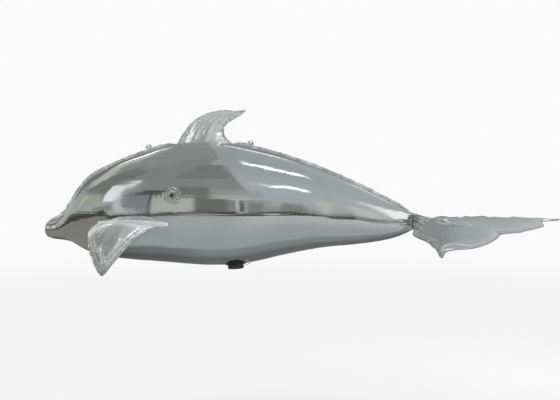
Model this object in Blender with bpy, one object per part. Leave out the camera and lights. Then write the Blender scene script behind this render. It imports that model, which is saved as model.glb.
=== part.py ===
"""Inflatable mirror-film dolphin balloon, hanging, about 2.6 m long.

Frame: head towards -X, tail towards +X, left flank towards -Y, +Z up, metres.
The origin is the point the balloon is held by, on its middle plane and on its
long axis, at its fullest station.

Construction: two side panels welded along the top and the belly, a two-film
dorsal fin on the top seam, two-film pectoral fins hinged on their root welds,
a two-film tail fluke on a gathered neck, a black cap valve under the belly, a
clear plug valve on the left flank and two hanging tabs on the top seam.
"""

import math

import bpy
from mathutils import Matrix, Vector

# ----------------------------------------------------------------- dimensions
X_TIP = -0.975          # beak tip
X_NOSE = -0.945         # where the rounded beak end starts
X_TAIL = 0.860          # flattened end of the body
WALL = 0.010            # thickness of the envelope panels
HALF_GAP = 0.00025      # each panel stops this far from the middle plane
FLANGE_H = 0.012        # height of the weld flange along the back
FLANGE_T = 0.0015       # half thickness of the weld flange
FLANGE_ENDS = (-0.362, -0.320, -0.038, 0.000)   # trimmed away between these
N_LONG = 40             # stations along a side panel
N_ROUND = 12            # steps round a side panel

# body stations: x, top of film, belly of film, half width
BODY = [
    (-0.960, -0.095, -0.168, 0.040),
    (-0.930, -0.083, -0.179, 0.053),
    (-0.900, -0.066, -0.183, 0.062),
    (-0.870, -0.039, -0.187, 0.075),
    (-0.840, 0.007, -0.195, 0.095),
    (-0.810, 0.057, -0.211, 0.118),
    (-0.780, 0.093, -0.228, 0.141),
    (-0.750, 0.121, -0.242, 0.161),
    (-0.690, 0.157, -0.260, 0.193),
    (-0.600, 0.204, -0.274, 0.226),
    (-0.510, 0.239, -0.284, 0.248),
    (-0.390, 0.279, -0.292, 0.272),
    (-0.270, 0.300, -0.302, 0.287),
    (-0.150, 0.306, -0.309, 0.293),
    (-0.030, 0.297, -0.307, 0.289),
    (0.090, 0.270, -0.288, 0.267),
    (0.210, 0.237, -0.259, 0.237),
    (0.330, 0.199, -0.236, 0.208),
    (0.450, 0.150, -0.218, 0.175),
    (0.570, 0.098, -0.206, 0.145),
    (0.690, 0.039, -0.191, 0.109),
    (0.780, -0.008, -0.170, 0.072),
    (0.825, -0.034, -0.153, 0.043),
    (0.860, -0.051, -0.139, 0.008),
]

# dorsal fin, base to tip: leading edge (x, z), trailing edge (x, z)
DORSAL = [
    ((-0.316, 0.292), (-0.042, 0.300)),
    ((-0.291, 0.334), (-0.064, 0.322)),
    ((-0.262, 0.375), (-0.078, 0.347)),
    ((-0.227, 0.411), (-0.077, 0.373)),
    ((-0.180, 0.439), (-0.062, 0.395)),
    ((-0.125, 0.457), (-0.035, 0.413)),
    ((-0.070, 0.463), (-0.005, 0.429)),
    ((-0.018, 0.458), (0.016, 0.444)),
    ((0.026, 0.463), (0.031, 0.458)),
]
DORSAL_HALF = 0.044     # half thickness of the fin where it meets the back
FIN_FLANGE = 0.012      # width of the weld flange round every fin
SHEET = 0.0012          # half thickness of a welded flange

# pectoral fin, root to tip: leading x, trailing x, reach out of the root, drop
PECTORAL = [
    (-0.648, -0.333, 0.000, 0.000),
    (-0.665, -0.380, 0.055, 0.009),
    (-0.671, -0.420, 0.102, 0.033),
    (-0.662, -0.461, 0.143, 0.072),
    (-0.644, -0.501, 0.173, 0.118),
    (-0.620, -0.538, 0.191, 0.166),
    (-0.598, -0.563, 0.199, 0.199),
    (-0.583, -0.576, 0.200, 0.213),
]
PEC_ROOT_Z = -0.083     # height of the root weld
PEC_ROOT_GAP = 0.0065   # from the film to the root edge of the fin
PEC_HALF = 0.034        # greatest half thickness
HINGE_BOW = 0.004       # the hinge line splits the bow of the root weld
PEC_SWING = ("left", -1.0), ("right", 1.0)

# tail fluke: the neck hangs from the end of the body and turns to the left
NECK_X = 0.872
NECK_Z = -0.0935
FLUKE_YAW = math.radians(-43.0)
FLUKE_DROOP = math.radians(-4.5)
FLUKE_ROLL = math.radians(4.0)
NECK_LEN = 0.068
FLUKE_UPPER = 0.032     # greatest height of the upper film over the weld
FLUKE_LOWER = 0.014     # greatest depth of the lower film, which hangs slack
FLUKE_RIDGE = 0.020     # the upper film stands up in a ridge behind the neck
# fluke outline, centre to tip: distance from the centre line, leading u, trailing u
FLUKE = [
    (0.000, 0.073, 0.462),
    (0.040, 0.076, 0.473),
    (0.100, 0.088, 0.490),
    (0.180, 0.116, 0.505),
    (0.270, 0.166, 0.514),
    (0.335, 0.248, 0.516),
    (0.380, 0.318, 0.502),
    (0.425, 0.362, 0.474),
    (0.470, 0.402, 0.463),
    (0.520, 0.442, 0.477),
    (0.555, 0.470, 0.492),
    (0.580, 0.491, 0.505),
]

# belly valve
VALVE_X = -0.018
VALVE_Y = -0.075
NECK_R = 0.033
NECK_BORE = 0.026
VALVE_FLANGE_R = 0.050
CAP_R = 0.0385
CAP_HINGE_X = 0.049
CAP_HINGE_Z = 0.0096    # the hinge line lies on top of the strap

# flank valve
PLUG_X = -0.295
PLUG_Z = 0.049
PATCH_R = 0.042
STEM_R = 0.0085
STEM_BORE = 0.0050

# hanging tabs on the top seam: name, x at the middle
TABS = [("front_hanging_tab", -0.452), ("rear_hanging_tab", 0.052)]
TAB_LEN = 0.032
TAB_H = 0.018
TAB_HALF_T = 0.0012
TAB_HOLE = 0.0038


# ------------------------------------------------------------------ utilities
def clear_scene():
    for ob in list(bpy.data.objects):
        bpy.data.objects.remove(ob, do_unlink=True)


def rule(xs, ys):
    """A smooth curve through (xs, ys) that never swings past its points."""
    n = len(xs)
    h = [xs[i + 1] - xs[i] for i in range(n - 1)]
    d = [(ys[i + 1] - ys[i]) / h[i] for i in range(n - 1)]
    m = [d[0]] + [0.0] * (n - 2) + [d[-1]]
    for i in range(1, n - 1):
        if d[i - 1] * d[i] > 0:
            w1, w2 = 2 * h[i] + h[i - 1], h[i] + 2 * h[i - 1]
            m[i] = (w1 + w2) / (w1 / d[i - 1] + w2 / d[i])

    def at(x):
        x = min(max(x, xs[0]), xs[-1])
        i = 0
        while i < n - 2 and x > xs[i + 1]:
            i += 1
        t = (x - xs[i]) / h[i]
        a = (1 + 2 * t) * (1 - t) ** 2
        b = t * (1 - t) ** 2
        c = t * t * (3 - 2 * t)
        e = t * t * (t - 1)
        return a * ys[i] + b * h[i] * m[i] + c * ys[i + 1] + e * h[i] * m[i + 1]

    return at


def step(a, b, x):
    t = min(max((x - a) / (b - a), 0.0), 1.0)
    return t * t * (3 - 2 * t)


def material(name, colour, rough, metal, alpha=1.0):
    mat = bpy.data.materials.new(name)
    mat.use_nodes = True
    p = mat.node_tree.nodes["Principled BSDF"]
    p.inputs["Base Color"].default_value = (*colour, 1.0)
    p.inputs["Roughness"].default_value = rough
    p.inputs["Metallic"].default_value = metal
    p.inputs["Alpha"].default_value = alpha
    return mat


def add(name, verts, faces, mat, smooth=True, parent=None, loc=None):
    mesh = bpy.data.meshes.new(name)
    off = Vector(loc) if loc is not None else Vector((0, 0, 0))
    mesh.from_pydata([tuple(Vector(v) - off) for v in verts], [], faces)
    mesh.validate()
    mesh.update()
    mesh.materials.append(mat)
    ob = bpy.data.objects.new(name, mesh)
    bpy.context.scene.collection.objects.link(ob)
    ob.location = off
    if parent is not None:
        ob.parent = parent
        ob.location = off - parent.location
    if smooth:
        mesh.shade_smooth()
        mesh.set_sharp_from_angle(angle=math.radians(35))
    return ob


def outward(verts, faces):
    """Turns every face over if the closed surface is inside out."""
    vol = 0.0
    for f in faces:
        a = Vector(verts[f[0]])
        for k in range(1, len(f) - 1):
            b, c = Vector(verts[f[k]]), Vector(verts[f[k + 1]])
            vol += a.dot(b.cross(c))
    return faces if vol > 0 else [tuple(reversed(f)) for f in faces]


def revolve(profile, seg=32, bend=None):
    """Turns a closed (radius, height) outline about +Z; radius 0 is a pole."""
    verts, faces, ring = [], [], []
    for r, z in profile:
        if r < 1e-7:
            ring.append([len(verts)])
            verts.append(Vector((0, 0, z)))
            continue
        ids = []
        for k in range(seg):
            a = 2 * math.pi * k / seg
            v = Vector((r * math.cos(a), r * math.sin(a), z))
            if bend:
                v.z += bend(v)
            ids.append(len(verts))
            verts.append(v)
        ring.append(ids)
    n = len(profile)
    open_ended = profile[0][0] < 1e-7 and profile[-1][0] < 1e-7
    for i in range(n - 1 if open_ended else n):
        a, b = ring[i], ring[(i + 1) % n]
        for k in range(seg):
            k2 = (k + 1) % seg
            if len(a) == 1 and len(b) == 1:
                continue
            if len(a) == 1:
                faces.append((a[0], b[k], b[k2]))
            elif len(b) == 1:
                faces.append((a[k], b[0], a[k2]))
            else:
                faces.append((a[k], b[k], b[k2], a[k2]))
    return verts, outward(verts, faces)


def grid_solid(front, back):
    """A closed solid between two grids of points with the same rows and columns."""
    rows, cols = len(front), len(front[0])
    verts = [p for row in front for p in row] + [p for row in back for p in row]
    off = rows * cols
    faces = []
    for i in range(rows - 1):
        for j in range(cols - 1):
            a = i * cols + j
            faces.append((a, a + 1, a + cols + 1))
            faces.append((a, a + cols + 1, a + cols))
            faces.append((off + a, off + a + cols + 1, off + a + 1))
            faces.append((off + a, off + a + cols, off + a + cols + 1))
    for j in range(cols - 1):
        a, b = j, (rows - 1) * cols + j
        faces.append((a, off + a, off + a + 1, a + 1))
        faces.append((b, b + 1, off + b + 1, off + b))
    for i in range(rows - 1):
        a, b = i * cols, i * cols + cols - 1
        faces.append((a, a + cols, off + a + cols, off + a))
        faces.append((b, off + b, off + b + cols, b + cols))
    return verts, outward(verts, faces)


def cutter(name, verts, faces):
    mesh = bpy.data.meshes.new(name)
    mesh.from_pydata([tuple(v) for v in verts], [], faces)
    ob = bpy.data.objects.new(name, mesh)
    bpy.context.scene.collection.objects.link(ob)
    ob.hide_render = True
    ob.display_type = "WIRE"
    return ob


def cut(ob, tool):
    mod = ob.modifiers.new("cut_" + tool.name, "BOOLEAN")
    mod.operation = "DIFFERENCE"
    mod.object = tool
    mod.solver = "EXACT"


# ------------------------------------------------------------------- the body
xs = [b[0] for b in BODY]
top_of = rule(xs, [b[1] for b in BODY])
belly_of = rule(xs, [b[2] for b in BODY])
half_of = rule(xs, [b[3] for b in BODY])


def section(x):
    """Middle height, half height and half width of the film at x."""
    q = max(x, xs[0])
    mid = 0.5 * (top_of(q) + belly_of(q))
    hh = 0.5 * (top_of(q) - belly_of(q))
    w = half_of(q)
    if x < X_NOSE:
        f = math.sqrt(max(0.0, 1.0 - ((X_NOSE - x) / (X_NOSE - X_TIP)) ** 2))
        q = X_NOSE
        hh = 0.5 * (top_of(q) - belly_of(q)) * f
        w = half_of(q) * f
    return mid, hh, w


def flange_height(x):
    """Height of the top flange; it is trimmed away under the dorsal fin."""
    h = FLANGE_H * step(X_TIP, X_TIP + 0.05, x)
    h += 0.006 * math.exp(-(((x + 0.70) / 0.045) ** 2))
    under = step(FLANGE_ENDS[0], FLANGE_ENDS[1], x) * (1.0 - step(FLANGE_ENDS[2], FLANGE_ENDS[3], x))
    h = h * (1.0 - under) + 0.001 * under
    h *= 1.0 - 0.25 * math.exp(-(((x + 0.83) / 0.06) ** 2))
    return max(h * (1.0 - 0.6 * step(0.80, 0.86, x)), 0.001)


def film_y(x, z):
    """Half width of the body at x and height z."""
    mid, hh, w = section(x)
    return w * math.sqrt(max(0.0, 1.0 - ((z - mid) / hh) ** 2))


def film_top(x, y):
    mid, hh, w = section(x)
    return mid + hh * math.sqrt(max(0.0, 1.0 - (y / w) ** 2))


def film_bottom(x, y):
    mid, hh, w = section(x)
    return mid - hh * math.sqrt(max(0.0, 1.0 - (y / w) ** 2))


def side_panel(side):
    """One C-shaped side panel, side -1 is the left one."""
    g, ft = HALF_GAP, FLANGE_T
    length = X_TAIL - X_TIP
    outer, inner = [], []
    x_in0, x_in1 = X_TIP + 0.040, X_TAIL - 0.062
    stations = []
    for i in range(1, N_LONG + 1):
        t = 0.5 * (1.0 - math.cos(math.pi * i / N_LONG)) * 0.62 + 0.38 * (i / N_LONG) ** 1.25
        stations.append(X_TIP + length * t)
    for fixed in FLANGE_ENDS:
        near = min(range(len(stations)), key=lambda k: abs(stations[k] - fixed))
        stations[near] = fixed
    for x in stations:
        mid, hh, w = section(x)
        fh = flange_height(x)
        f0 = math.asin(min(0.9, (g + ft) / w))
        f1 = math.pi - math.asin(min(0.9, g / w))
        row = [
            Vector((x, side * g, mid + hh * math.cos(f0) + fh)),
            Vector((x, side * (g + ft), mid + hh * math.cos(f0) + fh)),
        ]
        for k in range(N_ROUND + 1):
            f = f0 + (f1 - f0) * k / N_ROUND
            row.append(Vector((x, side * w * math.sin(f), mid + hh * math.cos(f))))
        outer.append(row)
    for i in range(1, N_LONG):
        t = i / N_LONG
        t = 0.5 * (1.0 - math.cos(math.pi * t)) * 0.62 + 0.38 * t
        x = x_in0 + (x_in1 - x_in0) * t
        mid, hh, w = section(x)
        cap = 1.0
        if x < x_in0 + 0.03:
            cap = math.sqrt(max(0.0, 1.0 - ((x_in0 + 0.03 - x) / 0.03) ** 2))
        if x > x_in1 - 0.03:
            cap = math.sqrt(max(0.0, 1.0 - ((x - x_in1 + 0.03) / 0.03) ** 2))
        wi, hi = (w - WALL) * cap, (hh - WALL) * cap
        f0 = math.asin(min(0.9, g / wi))
        row = []
        for k in range(N_ROUND + 1):
            f = f0 + (math.pi - 2 * f0) * k / N_ROUND
            row.append(Vector((x, side * wi * math.sin(f), mid + hi * math.cos(f))))
        inner.append(row)

    verts, faces = [], []

    def put(v):
        verts.append(v)
        return len(verts) - 1

    nose = put(Vector((X_TIP, side * g, section(X_TIP)[0])))
    o = [[put(v) for v in row] for row in outer]
    pole_a = put(Vector((x_in0, side * g, section(x_in0)[0])))
    n = [[put(v) for v in row] for row in inner]
    pole_b = put(Vector((x_in1, side * g, section(x_in1)[0])))
    mo, mi = len(o[0]), len(n[0])
    for j in range(mo - 1):
        faces.append((nose, o[0][j + 1], o[0][j]))
    for i in range(len(o) - 1):
        for j in range(mo - 1):
            faces.append((o[i][j], o[i][j + 1], o[i + 1][j + 1], o[i + 1][j]))
    faces.append(tuple(o[-1][j] for j in range(mo)))
    for j in range(mi - 1):
        faces.append((pole_a, n[0][j], n[0][j + 1]))
    for i in range(len(n) - 1):
        for j in range(mi - 1):
            faces.append((n[i][j], n[i + 1][j], n[i + 1][j + 1], n[i][j + 1]))
    for j in range(mi - 1):
        faces.append((pole_b, n[-1][j + 1], n[-1][j]))
    # the flat faces on the middle plane, above and below the hollow
    top_o = [nose] + [r[0] for r in o]
    top_i = [pole_a] + [r[0] for r in n] + [pole_b]
    bot_o = [nose] + [r[-1] for r in o]
    bot_i = [pole_a] + [r[-1] for r in n] + [pole_b]
    for i in range(N_LONG):
        faces.append((top_o[i], top_o[i + 1], top_i[i + 1], top_i[i]))
        faces.append((bot_o[i], bot_i[i], bot_i[i + 1], bot_o[i + 1]))
    faces.append((top_o[-1], bot_o[-1], pole_b))
    if side < 0:
        faces = [tuple(reversed(f)) for f in faces]
    return verts, outward(verts, faces)


# ----------------------------------------------------------------------- fins
def pillow(c, width, half):
    """Half thickness across a welded two-film pillow; c runs over the chord."""
    edge = min(0.42, FIN_FLANGE / max(width, 1e-6))
    if c <= edge or c >= 1.0 - edge:
        return 0.0
    u = (c - edge) / (1.0 - 2.0 * edge)
    return half * math.sin(math.pi * u) ** 0.65


def chord_steps(width, n):
    edge = min(0.42, FIN_FLANGE / max(width, 1e-6))
    mid = [edge + (1 - 2 * edge) * 0.5 * (1 - math.cos(math.pi * k / n)) for k in range(n + 1)]
    return [0.0] + mid + [1.0]


def through(points):
    """Smooth curves through a list of equal tuples, read at 0..1."""
    n = len(points) - 1
    ts = [i / n for i in range(n + 1)]
    fs = [rule(ts, [p[k] for p in points]) for k in range(len(points[0]))]
    return lambda t: [f(t) for f in fs]


def dorsal_half(side):
    at = through([(a[0], a[1], b[0], b[1]) for a, b in DORSAL])
    rows_front, rows_back = [], []
    n_up, n_ch = 14, 10
    for i in range(n_up + 1):
        s = i / n_up
        xl, zl, xt, zt = at(s)
        width = math.hypot(xt - xl, zt - zl)
        half = DORSAL_HALF * (1.0 - s) ** 0.75 * step(1.0, 0.86, s)
        front, back = [], []
        for c in chord_steps(width, n_ch):
            x, z = xl + (xt - xl) * c, zl + (zt - zl) * c
            y = SHEET + pillow(c, width, half)
            zf = zb = z
            if i == 0:
                zf = film_top(x, y + HALF_GAP) + 0.0022
                zb = film_top(x, HALF_GAP) + 0.0026
            front.append(Vector((x, side * (HALF_GAP + y), zf)))
            back.append(Vector((x, side * HALF_GAP, zb)))
        rows_front.append(front)
        rows_back.append(back)
    return grid_solid(rows_front, rows_back)


def pec_point(s, c, at):
    """Middle surface of the left fin and the direction of its outer film."""
    xl, xt, reach, drop = at(s)
    ds = 0.01
    a, b = at(max(0.0, s - ds)), at(min(1.0, s + ds))
    ty, tz = -(b[2] - a[2]), -(b[3] - a[3])
    ln = math.hypot(ty, tz)
    ty, tz = ty / ln, tz / ln
    x = xl + (xt - xl) * c
    root = -(film_y(x, PEC_ROOT_Z) + PEC_ROOT_GAP)
    middle = -(film_y(0.5 * (PECTORAL[0][0] + PECTORAL[0][1]), PEC_ROOT_Z) + PEC_ROOT_GAP)
    y = middle - reach + (root - middle) * (1.0 - s) ** 1.5
    arch = 0.012 * math.sin(math.pi * c) * math.sin(math.pi * min(1.0, s * 1.2))
    n = Vector((0.0, tz, -ty))
    return Vector((x, y, PEC_ROOT_Z - drop)) + n * arch, n, abs(xt - xl)


def pectoral_half(side, film):
    """film +1 is the outer film of the fin, -1 the one facing the body."""
    at = through(PECTORAL)
    rows_front, rows_back = [], []
    n_out, n_ch = 15, 9
    for i in range(n_out + 1):
        s = i / n_out
        width = abs(at(s)[1] - at(s)[0])
        half = PEC_HALF * step(0.02, 0.30, s) ** 0.8 * (1.0 - s) ** 0.45 * step(1.0, 0.90, s)
        front, back = [], []
        for c in chord_steps(width, n_ch):
            p, n, _ = pec_point(s, c, at)
            t = SHEET + pillow(c, width, half)
            f = p + n * film * (HALF_GAP + t)
            b = p + n * film * HALF_GAP
            if side > 0:
                f.y, b.y = -f.y, -b.y
            front.append(f)
            back.append(b)
        rows_front.append(front)
        rows_back.append(back)
    return grid_solid(rows_front, rows_back)


def hinge_ends():
    """Both ends of the straight line that best follows the curved root weld."""
    xa, xb = PECTORAL[0][0], PECTORAL[0][1]
    out = 0.004 + HINGE_BOW
    return (xa, film_y(xa, PEC_ROOT_Z) + out), (xb, film_y(xb, PEC_ROOT_Z) + out)


def pec_root_strip(side):
    """The welded strip on the flank that the fin hangs from."""
    rows_front, rows_back = [], []
    x0, x1 = PECTORAL[0][0] - 0.012, PECTORAL[0][1] + 0.014
    n = 16
    for k in range(3):
        z = PEC_ROOT_Z - 0.017 + 0.034 * k / 2
        front, back = [], []
        for i in range(n + 1):
            u = i / n
            x = x0 + (x1 - x0) * u
            zz = PEC_ROOT_Z + (z - PEC_ROOT_Z) * math.sin(math.pi * (0.06 + 0.88 * u)) ** 0.4
            y = film_y(x, zz)
            front.append(Vector((x, side * (y + 0.0028), zz)))
            back.append(Vector((x, side * (y + 0.0012), zz)))
        rows_front.append(front)
        rows_back.append(back)
    return grid_solid(rows_front, rows_back)


# ---------------------------------------------------------------------- fluke
def fluke_frame():
    """Aft, spanwise (towards the near lobe) and upward directions."""
    aft = Vector((
        math.cos(FLUKE_DROOP) * math.cos(FLUKE_YAW),
        math.cos(FLUKE_DROOP) * math.sin(FLUKE_YAW),
        math.sin(FLUKE_DROOP),
    ))
    side = Vector((0, 0, 1)).cross(aft).normalized()
    up = aft.cross(side)
    span = -side * math.cos(FLUKE_ROLL) - up * math.sin(FLUKE_ROLL)
    return aft, span, span.cross(aft).normalized()


def fluke_half(film):
    aft, span, up = fluke_frame()
    if up.z < 0:
        up = -up
    p0 = Vector((NECK_X, 0.0, NECK_Z))
    vs = [f[0] for f in FLUKE]
    lead, trail = rule(vs, [f[1] for f in FLUKE]), rule(vs, [f[2] for f in FLUKE])
    rows_front, rows_back = [], []
    n_sp, n_ch = 30, 9
    tip = vs[-1]
    for i in range(n_sp + 1):
        v = -tip * math.cos(math.pi * i / n_sp) * 0.5 + (2.0 * i / n_sp - 1.0) * tip * 0.5
        r = abs(v)
        ul, ut = lead(r), trail(r)
        width = ut - ul
        half = (FLUKE_UPPER if film > 0 else FLUKE_LOWER) * (1.0 - (r / tip) ** 2) ** 0.8
        front, back = [], []
        for c in chord_steps(width, n_ch):
            u = ul + width * c
            p = p0 + aft * u + span * v
            t = SHEET + pillow(c, width, half)
            if film > 0:
                t += FLUKE_RIDGE * math.exp(-((r / 0.075) ** 2)) * (1.0 - step(0.16, 0.46, u))
            front.append(p + up * film * (HALF_GAP + t))
            back.append(p + up * film * HALF_GAP)
        rows_front.append(front)
        rows_back.append(back)
    return grid_solid(rows_front, rows_back)


def fluke_neck():
    """Gathered film: a standing edge at the body that turns into a flat one."""
    aft, span, up = fluke_frame()
    if up.z < 0:
        up = -up
    p0 = Vector((NECK_X, 0.0, NECK_Z))
    rings = []
    n, seg = 10, 28
    for i in range(n + 1):
        s = i / n
        high = 0.040 + (0.030 - 0.040) * step(0.0, 0.9, s)
        deep = 0.040 + (0.013 - 0.040) * step(0.0, 0.9, s)
        wide = 0.006 + (0.052 - 0.006) * step(0.05, 1.0, s)
        ring = []
        for k in range(seg):
            a = 2 * math.pi * k / seg
            fold = 1.0 + 0.07 * math.cos(7 * a) * math.sin(math.pi * s)
            ring.append(
                p0 + aft * (NECK_LEN * s)
                + span * (wide * math.cos(a) * fold)
                + up * ((high if a < math.pi else deep) * math.sin(a) * fold)
            )
        rings.append(ring)
    verts = [v for r in rings for v in r]
    faces = []
    for i in range(n):
        for k in range(seg):
            k2 = (k + 1) % seg
            faces.append((i * seg + k, i * seg + k2, (i + 1) * seg + k2, (i + 1) * seg + k))
    faces.append(tuple(reversed(range(seg))))
    faces.append(tuple(range(n * seg, (n + 1) * seg)))
    return verts, outward(verts, faces)


# --------------------------------------------------------------------- valves
def local_frame(point, normal, along):
    """A frame with +Z along normal and +X as near to along as it can be."""
    z = Vector(normal).normalized()
    y = z.cross(Vector(along)).normalized()
    x = y.cross(z)
    m = Matrix((x, y, z)).transposed().to_4x4()
    m.translation = Vector(point)
    return m


def placed(m, verts):
    return [m @ Vector(v) for v in verts]


def surface_normal(x, y, z):
    e = 1e-4

    def f(a, b, c):
        mid, hh, w = section(a)
        return (b / w) ** 2 + ((c - mid) / hh) ** 2

    return Vector((
        f(x + e, y, z) - f(x - e, y, z),
        f(x, y + e, z) - f(x, y - e, z),
        f(x, y, z + e) - f(x, y, z - e),
    )).normalized()


def drop_to_film(m, a, b):
    """How far the film lies below the tangent plane at local (a, b)."""
    lo, hi = -0.05, 0.03
    for _ in range(40):
        t = 0.5 * (lo + hi)
        p = m @ Vector((a, b, t))
        mid, hh, w = section(p.x)
        if (p.y / w) ** 2 + ((p.z - mid) / hh) ** 2 > 1.0:
            hi = t
        else:
            lo = t
    return 0.5 * (lo + hi)


def box(x0, x1, y0, y1, z0, z1):
    v = [Vector((x, y, z)) for x in (x0, x1) for y in (y0, y1) for z in (z0, z1)]
    f = [(0, 1, 3, 2), (4, 6, 7, 5), (0, 4, 5, 1), (2, 3, 7, 6), (0, 2, 6, 4), (1, 5, 7, 3)]
    return v, outward(v, f)


def bar(p_list, y0, y1, thick):
    """A strip of even thickness along a local x-z path, from y0 to y1."""
    front, back = [], []
    for i, (x, z) in enumerate(p_list):
        a = p_list[max(0, i - 1)]
        b = p_list[min(len(p_list) - 1, i + 1)]
        d = Vector((b[0] - a[0], 0, b[1] - a[1])).normalized()
        n = Vector((-d.z, 0, d.x))
        front.append([Vector((x, y, z)) + n * thick * 0.5 for y in (y0, 0.5 * (y0 + y1), y1)])
        back.append([Vector((x, y, z)) - n * thick * 0.5 for y in (y0, 0.5 * (y0 + y1), y1)])
    return grid_solid(front, back)


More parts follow.
